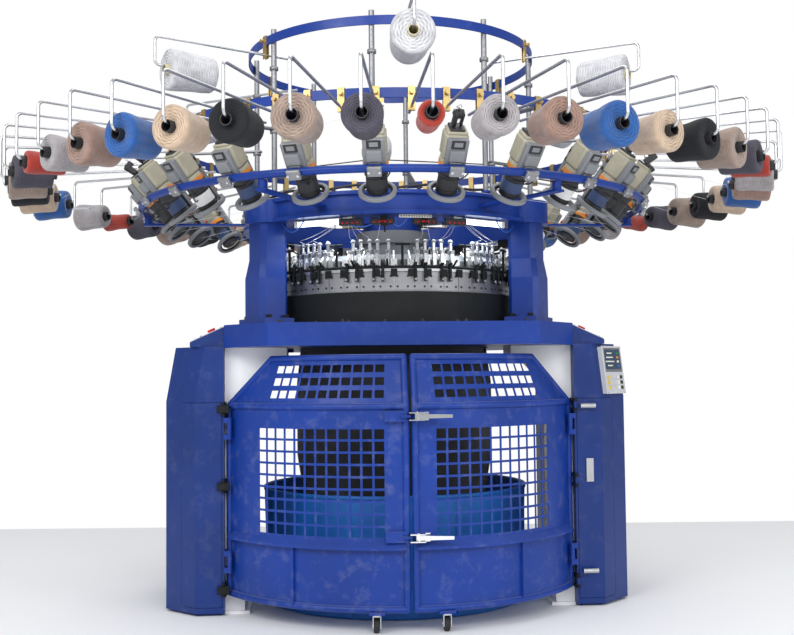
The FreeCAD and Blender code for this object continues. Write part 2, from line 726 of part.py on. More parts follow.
def clamp_on_ring(radius, ring_level, rod_level):
    """A bent clamp that holds one rod under a strip ring, with a knob screw outside."""
    half = CREEL_STRIP_WIDTH / 2
    top = ring_level + CREEL_STRIP_HEIGHT / 2
    low = rod_level - ROD_RADIUS - 12.0
    outer_plate = Part.makeBox(5.0, 30.0, top + 5.0 - low, vector(radius + half, -15.0, low))
    inner_plate = Part.makeBox(5.0, 30.0, top + 5.0 - low, vector(radius - half - 5.0, -15.0, low))
    cap = Part.makeBox(CREEL_STRIP_WIDTH + 10.0, 30.0, 5.0, vector(radius - half - 5.0, -15.0, top))
    knob = Part.makeCylinder(9.0, 20.0, vector(radius + half + 5.0, 0, ring_level), X)
    bore = rod(vector(radius - 60.0, 0, rod_level), vector(radius + 60.0, 0, rod_level), ROD_RADIUS)
    return fused([outer_plate, inner_plate, cap, knob]).cut(bore).cut(strip_ring(radius, ring_level))


def creel_clamps():
    return spaced(clamp_on_ring(CREEL_RING_RADIUS, CREEL_RING_LEVEL, ROD_LEVEL), even(CONE_COUNT))


def white_cone_clamps():
    return spaced(clamp_on_ring(UPPER_RING_RADIUS, UPPER_RING_LEVEL, WHITE_ROD_LEVEL), even(WHITE_COUNT))


def package(radius_from_axis, level, base, length):
    """A yarn package on the +X axis with its base outwards and a straight bore for the core."""
    nose = base * 0.84
    bore = CORE_INNER + CORE_WALL
    corners = [
        vector(bore, 0, -length / 2), vector(base - 6, 0, -length / 2), vector(base, 0, 6 - length / 2),
        vector(nose, 0, length / 2 - 8), vector(nose - 8, 0, length / 2), vector(bore, 0, length / 2),
    ]
    shape = Part.Face(Part.makePolygon(corners + corners[:1])).revolve(ORIGIN, Z, 360.0)
    shape.rotate(ORIGIN, Y, -90.0)
    shape.translate(vector(radius_from_axis, 0, level))
    return shape


def core(radius_from_axis, level, length):
    start = vector(radius_from_axis - length / 2, 0, level)
    outer = Part.makeCylinder(CORE_INNER + CORE_WALL, length, start, X)
    return outer.cut(Part.makeCylinder(CORE_INNER, length + 20.0, start - vector(10.0, 0, 0), X))


def cone_positions(colour):
    """Bearings of every hook that carries this colour."""
    bearings = even(CONE_COUNT)
    return [bearings[k] for k in range(CONE_COUNT) if k % len(YARNS) == colour and k != EMPTY_HOOK]


def yarn_cones(colour):
    base = YARNS[colour][1]
    return spaced(package(CONE_RADIUS_FROM_AXIS, CONE_LEVEL, base, CONE_LENGTH), cone_positions(colour))


def white_cones():
    return spaced(package(WHITE_RADIUS_FROM_AXIS, WHITE_LEVEL, WHITE_RADIUS, WHITE_LENGTH), even(WHITE_COUNT))


def cone_cores():
    cores = []
    for colour in range(len(YARNS)):
        for bearing in cone_positions(colour):
            cores.append(at_bearing(core(CONE_RADIUS_FROM_AXIS, CONE_LEVEL, CORE_LENGTH), bearing))
    for bearing in even(WHITE_COUNT):
        cores.append(at_bearing(core(WHITE_RADIUS_FROM_AXIS, WHITE_LEVEL, WHITE_LENGTH + 30.0), bearing))
    return group(cores)


# ---- Cabinets ------------------------------------------------------------------------------------

def cabinet_outline(inset, lean):
    """The right cabinet's footprint, moved in by an inset on all sides and by a lean outside."""
    side = CABINET_OUTER - inset - lean
    front = CABINET_FRONT_Y + inset
    back = CABINET_BACK_Y - inset - lean
    cut = CABINET_CHAMFER - inset * 0.4
    return [
        (BED_SIDE + inset, front), (side - cut, front), (side, front + cut),
        (side, back - 100.0), (side - 100.0, back), (BED_SIDE + inset, back),
    ]


def cabinet_solid(inset):
    """The cabinet's outer form, or its inside when moved in by the sheet's thickness."""
    def wire(level, lean):
        corners = [vector(x, y, level) for x, y in cabinet_outline(inset, lean)]
        return Part.makePolygon(corners + corners[:1])
    low, top = CABINET_FLOOR_GAP + inset, CABINET_TOP - inset
    body = prism(cabinet_outline(inset, 0.0), low, CABINET_KNEE)
    head = Part.makeLoft([wire(CABINET_KNEE, 0.0), wire(top, CABINET_LEAN)], True, True)
    return fused([body, head])


def cabinet_shell():
    return cabinet_solid(0.0).cut(cabinet_solid(SHEET))


def door_cut(gap):
    """The space of the cabinet's front door: the front face and its chamfer below the head."""
    depth = 24.0 + gap
    front = CABINET_FRONT_Y
    side = CABINET_OUTER - CABINET_CHAMFER
    low, high = CABINET_FLOOR_GAP + 28.0 - gap, CABINET_KNEE - 6.0 + gap
    inner = BED_SIDE + 12.0 - gap
    return prism([
        (inner, front - 10.0), (CABINET_OUTER + 20.0, front - 10.0),
        (CABINET_OUTER + 20.0, front + CABINET_CHAMFER - 20.0 + gap),
        (side - 2.0, front + depth), (inner, front + depth),
    ], low, high)


def cabinet():
    """The right cabinet without its door, on a plinth that reaches the floor."""
    plinth = prism(cabinet_outline(25.0, 0.0), 0.0, CABINET_FLOOR_GAP)
    return fused([cabinet_shell().cut(door_cut(DOOR_SEAM)), plinth, cabinet_crown()])


def cabinet_door():
    """The right cabinet's door, with the sleeves of its hinges."""
    return cabinet_shell().common(door_cut(0.0))


def hinge_axis_x():
    return BED_SIDE + 3.0


def door_with_sleeves(door):
    """The cabinet door with a hinge sleeve at each level on its inner edge."""
    pieces = [door]
    for level in CABINET_HINGE_LEVELS:
        axis = vector(hinge_axis_x(), CABINET_FRONT_Y - 10.0, level)
        pieces.append(Part.makeCylinder(9.0, 30.0, axis - vector(0, 0, 15.0)))
        pieces.append(Part.makeBox(30.0, 6.0, 30.0, axis + vector(4.0, 4.0, -15.0)))
    result = fused(pieces)
    bore = Part.makeCylinder(4.0 + PIN_FIT, CABINET_TOP, vector(hinge_axis_x(), CABINET_FRONT_Y - 10.0, 0))
    return result.cut(bore)


def cabinet_hinges():
    """Pins with top and bottom lugs, fixed to the legs' corners; the door's sleeves turn on them."""
    pieces = []
    for level in CABINET_HINGE_LEVELS:
        axis = vector(hinge_axis_x(), CABINET_FRONT_Y - 10.0, level)
        pin = Part.makeCylinder(4.0, 62.0, axis - vector(0, 0, 31.0))
        lugs = []
        for side in (-1, 1):
            centre = axis + vector(0, 0, side * 24.0)
            lug = Part.makeCylinder(9.0, 16.0, centre - vector(0, 0, 8.0))
            plate = Part.makeBox(8.0, 59.0, 16.0, vector(BED_SIDE - 8.0, CABINET_FRONT_Y - 4.0, centre.z - 8.0))
            bridge = Part.makeBox(12.0, 8.0, 16.0, vector(BED_SIDE - 8.0, CABINET_FRONT_Y - 12.0, centre.z - 8.0))
            lugs += [lug, plate, bridge]
        pieces.append(fused([pin] + lugs))
    return pieces


# ---- Safety doors --------------------------------------------------------------------------------

def door_bearing(offset):
    """Bearing at which a point on the door's curve lies this far from the middle plane."""
    return math.degrees(math.asin(offset / DOOR_RADIUS))


def door_corners():
    """Where the right door's rails meet: bottom, waist and top, at the split and at the outer end."""
    r_top = DOOR_RADIUS - DOOR_LEAN
    first = door_bearing(DOOR_SPLIT_HALF)
    first_top = math.degrees(math.asin(DOOR_SPLIT_HALF / r_top))
    inner = [on_circle(DOOR_RADIUS, first, DOOR_BOTTOM), on_circle(DOOR_RADIUS, first, DOOR_WAIST),
             on_circle(r_top, first_top, DOOR_TOP)]
    outer = [on_circle(DOOR_RADIUS, DOOR_END_BEARING, DOOR_BOTTOM), on_circle(DOOR_RADIUS, DOOR_END_BEARING, DOOR_WAIST),
             on_circle(r_top, DOOR_TOP_BEARING, DOOR_TOP)]
    return inner, outer, first, first_top


def door_rails():
    """The right door's welded tube frame, with a rounded weld at each corner."""
    inner, outer, first, first_top = door_corners()
    pieces = []
    for level in (DOOR_BOTTOM, DOOR_WAIST):
        pieces.append(hoop(DOOR_RADIUS, level, DOOR_TUBE, first - 90.0, DOOR_END_BEARING - first))
    top_sweep = DOOR_TOP_BEARING - first_top
    pieces.append(hoop(DOOR_RADIUS - DOOR_LEAN, DOOR_TOP, DOOR_TUBE, first_top - 90.0, top_sweep))
    for low, waist, top in (inner, outer):
        pieces += [rod(low, waist, DOOR_TUBE), rod(waist, top, DOOR_TUBE)]
    pieces += [Part.makeSphere(DOOR_TUBE + DOOR_WELD, point) for point in inner]
    pieces += [Part.makeSphere(DOOR_TUBE - DOOR_WELD, point) for point in outer]
    return fused(pieces)


def door_panels():
    """The panels that fill the right door: upright sheet, leaning sheet, and the shelf with its rib."""
    inner, outer, first, _ = door_corners()
    last = DOOR_END_BEARING
    shelf = turned([
        (DOOR_RADIUS, DOOR_SHELF - 12), (DOOR_RADIUS + 32, DOOR_SHELF - 8),
        (DOOR_RADIUS + 32, DOOR_SHELF + 2), (DOOR_RADIUS, DOOR_SHELF + 27),
    ], first - 90.0, last - 3.0 - first)
    rib = block(14.0, 14.0, DOOR_SHELF - DOOR_BOTTOM, vector(DOOR_RADIUS + 7.1, 0, (DOOR_SHELF + DOOR_BOTTOM) / 2))
    shelf = fused([shelf, at_bearing(rib, (first + last) / 2 + 2.0)])
    return door_sheet(first, last) + [head_sheet(first, last, outer[1], outer[2]), shelf]


def sheet_piece(low, high, start, end):
    """A plain curved piece of the upright sheet between two levels and two bearings."""
    return ring(DOOR_RADIUS - DOOR_SHEET, DOOR_RADIUS, low, high, start - 90.0, end - start)


def door_sheet(first, last):
    """The upright curved sheet: a perforated field with plain sheet below, above and beside it."""
    step = math.degrees(MESH_PITCH / DOOR_RADIUS)
    start = first + math.degrees(MESH_MARGIN / DOOR_RADIUS)
    end = start + MESH_COLUMNS * step
    high = DOOR_WAIST - MESH_DROP
    low = high - MESH_ROWS * MESH_PITCH
    holes = []
    for column_index in range(MESH_COLUMNS):
        for row in range(MESH_ROWS):
            hole = block(60.0, MESH_HOLE, MESH_HOLE, vector(DOOR_RADIUS, 0, low + (row + 0.5) * MESH_PITCH))
            holes.append(at_bearing(hole, start + (column_index + 0.5) * step))
    return [
        sheet_piece(low, high, start, end).cut(group(holes)),
        sheet_piece(DOOR_BOTTOM, low, first, last), sheet_piece(high, DOOR_WAIST, first, last),
        sheet_piece(low, high, first, start), sheet_piece(low, high, end, last),
    ]


def head_sheet(first, last, waist_outer, top_outer):
    """The leaning sheet above the waist, with a slanted outer corner and its own rows of holes."""
    r_top = DOOR_RADIUS - DOOR_LEAN
    sheet = turned([
        (DOOR_RADIUS - DOOR_SHEET, DOOR_WAIST), (DOOR_RADIUS, DOOR_WAIST), (r_top, DOOR_TOP),
        (r_top - DOOR_SHEET, DOOR_TOP),
    ], first - 90.0, last - first)
    edge = top_outer - waist_outer
    inward = vector(-math.cos(math.radians(last - 90.0)), -math.sin(math.radians(last - 90.0)), 0)
    outside = edge.cross(inward)
    outside.normalize()
    if outside.dot(on_circle(1.0, last + 60.0, 0.0)) < 0:
        outside = outside * -1.0
    start = waist_outer - edge - inward * 300.0
    cutter = Part.Face(Part.makePolygon([
        start, start + edge * 3.0, start + edge * 3.0 + inward * 600.0, start + inward * 600.0, start,
    ])).extrude(outside * 700.0)
    sheet = sheet.cut(cutter)
    slope = math.degrees(math.atan2(DOOR_LEAN, DOOR_TOP - DOOR_WAIST))
    run = math.hypot(DOOR_LEAN, DOOR_TOP - DOOR_WAIST)
    step = math.degrees(MESH_PITCH / DOOR_RADIUS)
    rows = int((run - 40.0) / (MESH_PITCH * 0.92))
    holes = []
    for row in range(rows):
        share = (28.0 + (row + 0.5) * (run - 50.0) / rows) / run
        level = DOOR_WAIST + share * (DOOR_TOP - DOOR_WAIST)
        radius = DOOR_RADIUS - share * DOOR_LEAN
        bearing = first + math.degrees(MESH_MARGIN / DOOR_RADIUS) + step / 2
        while bearing < HEAD_MESH_BEARING:
            hole = block(50.0, MESH_HOLE * 0.94, MESH_HOLE * 0.86, ORIGIN)
            hole.rotate(ORIGIN, Y, -slope)
            hole.translate(vector(radius, 0, level))
            holes.append(at_bearing(hole, bearing))
            bearing += step
    return sheet.cut(group(holes))


def hinge_sleeves():
    """Sleeves and straps that hang the right door on its pins."""
    pieces = []
    post = on_circle(DOOR_RADIUS, DOOR_END_BEARING, 0)
    for level in HINGE_LEVELS:
        axis = vector(HINGE_X, HINGE_Y, level)
        sleeve = Part.makeCylinder(HINGE_SLEEVE, 50.0, axis - vector(0, 0, 25.0))
        strap = rod(axis + vector(0, 8.0, 0), vector(post.x, post.y, level), 7.0)
        pieces.append(fused([sleeve, strap]))
    return pieces


def door_frame():
    """The rails with the hinge sleeves and the caster's plate welded on."""
    frame = fused([door_rails(), caster_plate()] + hinge_sleeves())
    bore = Part.makeCylinder(HINGE_PIN + PIN_FIT, DOOR_TOP, vector(HINGE_X, HINGE_Y, 0))
    return frame.cut(bore)


def filled(frame, panels):
    """A door frame with its panels trimmed to meet the rails."""
    return group([frame] + [panel.cut(frame) for panel in panels])


def door_hinges():
    """Pins and lugs on the right leg that carry the safety door."""
    pieces = []
    for level in HINGE_LEVELS:
        axis = vector(HINGE_X, HINGE_Y, level)
        parts = [Part.makeCylinder(HINGE_PIN, 96.0, axis - vector(0, 0, 48.0))]
        for side in (-1, 1):
            centre = axis + vector(0, 0, side * 38.0)
            parts.append(Part.makeCylinder(HINGE_SLEEVE, 24.0, centre - vector(0, 0, 12.0)))
            low = centre.z - 12.0
            parts.append(Part.makeBox(BED_SIDE - HINGE_X, 14.0, 24.0, vector(HINGE_X, HINGE_Y - 7.0, low)))
            parts.append(Part.makeBox(HINGE_BRACKET, LEG_FRONT_Y - HINGE_Y + 7.0, 24.0,
                                      vector(BED_SIDE - HINGE_BRACKET, HINGE_Y - 7.0, low)))
        pieces.append(fused(parts))
    return pieces


# ---- Casters, latches and controls ---------------------------------------------------------------

def caster_place():
    return on_circle(DOOR_RADIUS, CASTER_BEARING, 0)


def caster_top():
    return DOOR_BOTTOM - DOOR_TUBE


def caster_plate():
    """The plate and boss under the right door's bottom rail."""
    place = caster_place()
    low = caster_top() - 4.0
    plate = block(70.0, 60.0, 10.0, place + vector(0, 0, low + 5.0))
    return plate.cut(hoop(DOOR_RADIUS, DOOR_BOTTOM, DOOR_TUBE))


def caster_fork():
    """Swivel head and fork; the wheel trails towards the middle of the machine."""
    place = caster_place()
    top = caster_top() - 4.0 - RUNNING_GAP
    disc = Part.makeCylinder(20.0, 8.0, vector(place.x, place.y, top - 8.0))
    axle = vector(place.x, place.y + CASTER_OFFSET, CASTER_WHEEL)
    pieces = [disc]
    for side in (-1, 1):
        x = place.x + side * (CASTER_TREAD / 2 + 4.0)
        pieces.append(Part.makeBox(4.0, 44.0, top - 4.0 - CASTER_WHEEL + 10.0,
                                   vector(x - 2.0, place.y - 8.0, CASTER_WHEEL - 8.0)))
    crown = Part.makeBox(CASTER_TREAD + 12.0, 44.0, 5.0,
                         vector(place.x - CASTER_TREAD / 2 - 6.0, place.y - 8.0, top - 11.0))
    pieces.append(crown)
    pin = Part.makeCylinder(CASTER_AXLE, CASTER_TREAD + 16.0,
                            axle - vector(CASTER_TREAD / 2 + 8.0, 0, 0), X)
    pieces.append(pin)
    return fused(pieces)


def caster_wheel():
    place = caster_place()
    axle = vector(place.x, place.y + CASTER_OFFSET, CASTER_WHEEL)
    start = axle - vector(CASTER_TREAD / 2, 0, 0)
    wheel = Part.makeCylinder(CASTER_WHEEL, CASTER_TREAD, start, X)
    wheel = wheel.makeChamfer(3.0, [wheel.Edges[0], wheel.Edges[2]])
    return wheel.cut(Part.makeCylinder(CASTER_AXLE + PIN_FIT, CASTER_TREAD + 20.0,
                                       start - vector(10.0, 0, 0), X))


def latch_levels():
    return (DOOR_WAIST - 42.0, DOOR_SHELF + 45.0)


def latch_axis(level):
    """The latch lever's upright pivot, in the clevis on the right door."""
    return vector(LATCH_PIVOT_X, -DOOR_RADIUS - DOOR_TUBE - 24.0, level)


def latch_base(level):
    """A bright clevis on the right door; its jaws reach over the left door's tongue."""
    axis = latch_axis(level)
    depth = 46.0
    jaws = []
    for side in (-1, 1):
        low = level + side * (LATCH_JAW_GAP / 2 + 2.5) - 2.5
        jaws.append(Part.makeBox(66.0, depth, 5.0, vector(axis.x - 36.0, axis.y - 22.0, low)))
    back = Part.makeBox(40.0, 26.0, LATCH_JAW_GAP + 10.0, vector(axis.x + 12.0, axis.y + 16.0, level - LATCH_JAW_GAP / 2 - 5.0))
    pin = Part.makeCylinder(5.0, LATCH_JAW_GAP + 14.0, axis - vector(0, 0, LATCH_JAW_GAP / 2 + 7.0))
    return fused(jaws + [back, pin])


def latch_lever(level):
    """The long tapered handle that turns in the clevis."""
    axis = latch_axis(level)
    height = LATCH_JAW_GAP - 2 * RUNNING_GAP
    hub = Part.makeCylinder(12.0, height, axis - vector(0, 0, height / 2))
    near = [(-11, -10), (3, -10), (3, 10), (-11, 10), (-11, -10)]
    far = [(-22, -7), (-11, -7), (-11, 7), (-22, 7), (-22, -7)]
    handle = Part.makeLoft([
        Part.makePolygon([axis + vector(0, y, z) for y, z in near]),
        Part.makePolygon([axis + vector(LATCH_LENGTH, y, z) for y, z in far]),
    ], True, True)
    bore = Part.makeCylinder(5.0 + PIN_FIT, 80.0, axis - vector(0, 0, 40.0))
    return fused([hub, handle]).cut(bore)


def latch_catch(level):
    """The painted catch plate on the left door, with a tongue that enters the clevis."""
    front = -DOOR_RADIUS - DOOR_TUBE
    plate = Part.makeBox(96.0, 34.0, 46.0, vector(-112.0, front - 6.0, level - 23.0))
    tongue = Part.makeBox(24.0, 22.0, 10.0, vector(-24.0, front - 22.0, level - 5.0))
    web = Part.makeBox(20.0, 20.0, 10.0, vector(-42.0, front - 22.0, level - 5.0))
    return fused([plate, tongue, web])


def slope_frame():
    """The middle of the sloped control top's inner edge, its way down and its normal."""
    down = vector(SLOPE_WIDTH, 0, SLOPE_LOW - SLOPE_HIGH)
    down.normalize()
    normal = vector(-down.z, 0, down.x)
    return vector(BED_SIDE, SLOPE_MIDDLE_Y, SLOPE_HIGH), down, normal


def slope_prism(low_lift, high_lift, inset):
    """A slab that follows the slope between two heights over it."""
    start, down, normal = slope_frame()
    length = math.hypot(SLOPE_WIDTH, SLOPE_HIGH - SLOPE_LOW)
    corners = [
        start + down * inset + normal * low_lift, start + down * (length - inset) + normal * low_lift,
        start + down * (length - inset) + normal * high_lift, start + down * inset + normal * high_lift,
    ]
    half = SLOPE_LENGTH / 2 - inset
    corners = [corner - vector(0, half, 0) for corner in corners]
    return Part.Face(Part.makePolygon(corners + corners[:1])).extrude(vector(0, 2 * half, 0))


def button_place(along, across):
    start, down, _ = slope_frame()
    return start + down * across + vector(0, along, 0)


def button_wells():
    """Round wells that the stems of the push buttons run in."""
    _, _, normal = slope_frame()
    wells = []
    for along, across, radius in BUTTONS:
        place = button_place(along, across)
        wells.append(Part.makeCylinder(radius + RUNNING_GAP, 60.0, place - normal * 26.0, normal))
    return group(wells)


def cabinet_crown():
    """The painted wedge on the cabinet's top that carries the control plate."""
    half = SLOPE_LENGTH / 2
    points = [
        (BED_SIDE, CABINET_TOP), (BED_SIDE, SLOPE_HIGH), (BED_SIDE + SLOPE_WIDTH, SLOPE_LOW),
        (BED_SIDE + SLOPE_WIDTH, CABINET_TOP),
    ]
    corners = [vector(x, SLOPE_MIDDLE_Y - half, z) for x, z in points]
    wedge = Part.Face(Part.makePolygon(corners + corners[:1])).extrude(vector(0, SLOPE_LENGTH, 0))
    return wedge.cut(button_wells())


def control_plate():
    """The light plate on the sloped top, with a hole for each push button."""
    return slope_prism(0.0, PLATE_SHEET, 6.0).cut(button_wells())


def push_button(index, cap_radius):
    """A push button; its stem runs in the plate's hole and the well below it."""
    along, across, radius = BUTTONS[index]
    _, _, normal = slope_frame()
    place = button_place(along, across)
    stem = Part.makeCylinder(radius, 26.0, place - normal * 12.0, normal)
    cap = Part.makeCylinder(cap_radius, 9.0, place + normal * (PLATE_SHEET + BUTTON_TRAVEL + 1.0), normal)
    return fused([stem, cap])


def display_panel():
    """The operator display on the leaning chamfer of the right cabinet."""
    across = vector(1, 1, 0)
    across.normalize()
    outward = across.cross(vector(-CABINET_LEAN, 0, CABINET_TOP - CABINET_KNEE))
    outward.normalize()
    upward = outward.cross(across)
    half = CABINET_CHAMFER / 2
    middle = vector(CABINET_OUTER - half, CABINET_FRONT_Y + half, CABINET_KNEE)
    start = middle - across * (DISPLAY_WIDTH / 2) + upward * 14.0 - outward * 6.0
    corners = [
        start, start + across * DISPLAY_WIDTH, start + across * DISPLAY_WIDTH + upward * DISPLAY_HEIGHT,
        start + upward * DISPLAY_HEIGHT,
    ]
    box = Part.Face(Part.makePolygon(corners + corners[:1])).extrude(outward * 28.0)
    return box.cut(cabinet_solid(0.0))


def cabinet_door_fittings():
    """The bright pull plate and the two barrel bolts on the right cabinet's door."""
    face = CABINET_FRONT_Y
    pieces = [block(34.0, 8.0, 110.0, vector(BED_SIDE + 70.0, face - 4.0, 640.0))]
    for level in (170.0, DOOR_WAIST - 20.0):
        seat = block(16.0, 24.0, 16.0, vector(BED_SIDE + 50.0, face - 12.0, level))
        barrel = rod(vector(BED_SIDE + 24.0, face - 26.0, level), vector(BED_SIDE + 96.0, face - 26.0, level), 12.0)
        pieces.append(fused([barrel, seat]))
    return group(pieces)


def upright_shaft():
    """The round shaft that carries the drive up to the feeder belts."""
    return rod(on_circle(690.0, -150.0, BED_TOP), on_circle(690.0, -150.0, PLATE_BOTTOM), 24.0)


def feed_canister():
    """The small oil mist canister hung between the plate and the creel."""
    place = on_circle(post_circle(), CANISTER_BEARING, 0)
    axis = vector(place.x, place.y - POST_RADIUS - 26.0, 1985.0)
    body = Part.makeCylinder(26.0, 110.0, axis)
    arm = Part.makeBox(20.0, 30.0, 16.0, vector(place.x - 10.0, axis.y + 10.0, 2050.0))
    post = Part.makeCylinder(POST_RADIUS, 200.0, vector(place.x, place.y, 2000.0))
    return fused([body, arm]).cut(post)


# ---- Assembly ------------------------------------------------------------------------------------

def both_sides(shapes):
    return group([piece for shape in shapes for piece in (shape, mirrored(shape))])


def build_nodes():
    nodes = {
        "bed_plate": bed_plate(),
        "right_leg": front_leg(),
        "left_leg": mirrored(front_leg()),
        "back_leg": back_leg(),
        "right_column": at_bearing(column(), COLUMN_BEARINGS[1]),
        "left_column": at_bearing(column(), COLUMN_BEARINGS[0]),
        "back_column": at_bearing(column(), COLUMN_BEARINGS[2]),
        "column_bolts": column_bolts(),
        "needle_cylinder": needle_cylinder(),
        "cam_ring": cam_ring(),
        "gear_cover": gear_cover(),
        "sinker_ring": sinker_ring(),
        "yarn_guides": yarn_guides(),
        "cam_levers": cam_levers(),
        "drive_shaft": drive_shaft(),
        "drive_motor": drive_motor(),
        "motor_pulley": motor_pulley(),
        "drive_belt": drive_belt(),
        "fabric_tube": fabric_tube(),
        "fabric_tub": fabric_tub(),
        "upper_plate": upper_plate(),
        "centre_drum": centre_drum(),
        "strip_lights": strip_lights(),
        "stop_motion_boxes": stop_motion_boxes(),
        "upright_shaft": upright_shaft(),
        "oil_canister": feed_canister(),
        "feeder_ring": hoop(FEEDER_RING_RADIUS, PLATE_TOP, FEEDER_RING_TUBE),
        "feeder_arms": feeder_arms(),
        "feeder_housings": spaced(feeder_body(), feeder_bearings()),
        "feeder_spools": spaced(feeder_spool(), feeder_bearings()),
        "feeder_guide_rings": spaced(feeder_ring_guide(), feeder_bearings()),
        "creel_frame": group([creel_posts(), creel_arms()]),
        "creel_ring": strip_ring(CREEL_RING_RADIUS, CREEL_RING_LEVEL),
        "upper_ring": strip_ring(UPPER_RING_RADIUS, UPPER_RING_LEVEL),
        "creel_clamps": group([creel_clamps(), white_cone_clamps()]),
        "cone_rods": group([cone_rods(), white_cone_rods()]),
        "white_cones": white_cones(),
        "cone_cores": cone_cores(),
    }
    return nodes


def add_cones(nodes):
    cones = []
    for colour in range(len(YARNS)):
        cones.append(yarn_cones(colour))
    nodes["yarn_cones"] = group(cones)


def add_cabinets(nodes):
    slot = Part.makeBox(40.0, 2 * DRIVE_PULLEY_RADIUS + 40.0, PULLEY_WIDTH + 30.0,
                        vector(-BED_SIDE - 20.0, -DRIVE_PULLEY_RADIUS - 20.0, PULLEY_LEVEL - 15.0))
    nodes["right_cabinet"] = cabinet()
    nodes["left_cabinet"] = mirrored(cabinet()).cut(slot)
    door = door_with_sleeves(cabinet_door())
    nodes["right_cabinet_door"] = door
    nodes["left_cabinet_door"] = mirrored(door)
    nodes["cabinet_hinges"] = both_sides(cabinet_hinges())
    nodes["control_panels"] = group([both_sides([control_plate()]), display_panel()])
    nodes["cabinet_door_fittings"] = cabinet_door_fittings()
    stop = push_button(0, 19.0)
    start = push_button(1, 12.0)
    nodes["right_stop_button"] = stop
    nodes["left_stop_button"] = mirrored(stop)
    nodes["right_start_button"] = start
    nodes["left_start_button"] = mirrored(start)


def add_safety_doors(nodes):
    frame, panels = door_frame(), door_panels()
    levels = latch_levels()
    bases = [latch_base(level) for level in levels]
    catches = [latch_catch(level) for level in levels]
    nodes["right_door"] = filled(frame, panels)
    nodes["left_door"] = filled(fused([mirrored(frame)] + catches), [mirrored(panel) for panel in panels])
    nodes["latch_bases"] = group([base.cut(nodes["right_door"]) for base in bases])
    nodes["door_hinges"] = both_sides(door_hinges())
    nodes["upper_latch"] = latch_lever(levels[0])
    nodes["lower_latch"] = latch_lever(levels[1])
    nodes["right_caster_fork"] = caster_fork()
    nodes["left_caster_fork"] = mirrored(caster_fork())
    nodes["right_caster_wheel"] = caster_wheel()
    nodes["left_caster_wheel"] = mirrored(caster_wheel())


def solids_only(shape):
    """A shape's solids as one flat group, or the solid itself when there is only one."""
    solids = shape.Solids
    return solids[0] if len(solids) == 1 else group(solids)


def main():
    os.makedirs("parts", exist_ok=True)
    nodes = build_nodes()
    add_cones(nodes)
    add_cabinets(nodes)
    add_safety_doors(nodes)
    for name, shape in nodes.items():
        piece = solids_only(shape)
        piece.exportStep("parts/%s.step" % name)
        print("%-22s %3d solids, valid %s" % (name, len(shape.Solids), piece.isValid()))
    print(len(nodes), "nodes")


main()
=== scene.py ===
# %% [markdown]
# # A circular knitting machine, dressed round its construction model
# The construction model already holds every plate, ring, rod and hinge at its real size. This
# lesson adds the looks: enamel, steel, wound yarn, cloth, and the small parts round the knitting
# head. Everything is placed from the boxes of the construction nodes, so nothing is fitted by hand.

# %% Load the frame
import itertools
import math
import random
import bmesh
import bpy
from mathutils import Matrix, Vector, noise


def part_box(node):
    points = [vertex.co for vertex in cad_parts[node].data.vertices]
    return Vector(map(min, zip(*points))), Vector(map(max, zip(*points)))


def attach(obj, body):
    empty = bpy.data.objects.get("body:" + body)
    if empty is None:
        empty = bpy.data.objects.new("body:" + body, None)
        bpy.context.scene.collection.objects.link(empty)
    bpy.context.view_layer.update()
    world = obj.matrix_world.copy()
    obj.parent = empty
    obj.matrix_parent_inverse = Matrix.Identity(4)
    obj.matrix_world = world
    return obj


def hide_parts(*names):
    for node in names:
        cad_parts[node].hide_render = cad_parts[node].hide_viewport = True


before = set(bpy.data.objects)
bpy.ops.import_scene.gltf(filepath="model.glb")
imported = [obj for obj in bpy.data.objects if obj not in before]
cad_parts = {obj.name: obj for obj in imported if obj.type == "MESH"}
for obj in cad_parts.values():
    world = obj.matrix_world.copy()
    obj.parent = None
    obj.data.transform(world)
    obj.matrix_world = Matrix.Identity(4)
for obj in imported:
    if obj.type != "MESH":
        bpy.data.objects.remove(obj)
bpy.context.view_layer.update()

random.seed(11)

# %% [markdown]
# ## Sizes that come from the frame
# A turned piece is known by its radius and its two levels. Both are read from the node's box, so a
# change in the construction moves the looks with it.

# %% Sizes
ALONG_X = Matrix.Rotation(math.radians(90), 4, "Y")  # turns local Z onto X
ALONG_Y = Matrix.Rotation(math.radians(90), 4, "X")  # turns local Z onto -Y


def shift(x, y, z):
    """A place moved by x, y and z."""
    return Matrix.Translation((x, y, z))


def radius_of(node):
    """Largest distance of a ring-shaped node from the machine's axis."""
    low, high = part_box(node)
    return max(high.x, -low.x)


def levels_of(node):
    low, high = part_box(node)
    return low.z, high.z


RING_TUBE = 0.017
FEEDER_R = radius_of("feeder_ring") - RING_TUBE
CAM_R = 0.600
CAM_LOW, CAM_HIGH = levels_of("cam_ring")
PLATE_LOW, PLATE_HIGH = levels_of("upper_plate")
BED_HIGH = levels_of("bed_plate")[1]
CONES = 48
FEEDERS = 24
EMPTY_HOOK = 34  # the hook that carries no cone
HOOK_STEP = 360.0 / CONES
FEEDER_STEP = 360.0 / FEEDERS
FIRST_FEEDER = HOOK_STEP
POST_CIRCLE = 0.709
FIRST_POST = -56.25
print("feeder ring", round(FEEDER_R, 3), "plate", round(PLATE_LOW, 3), round(PLATE_HIGH, 3))

# %% [markdown]
# ## Camera
# The camera stands a little left of the middle, at chest height, 5.6 m from the machine's axis. It
# looks up slightly and leans by half a degree, as a hand-held studio shot does.

# %% Camera
EYE_DISTANCE = 5.64
EYE_HEIGHT = 1.10
EYE_SIDE = math.radians(4.4)
EYE_PITCH = 0.0521
EYE_YAW = 0.0036
EYE_ROLL = 0.0106
FOCAL = 49.9


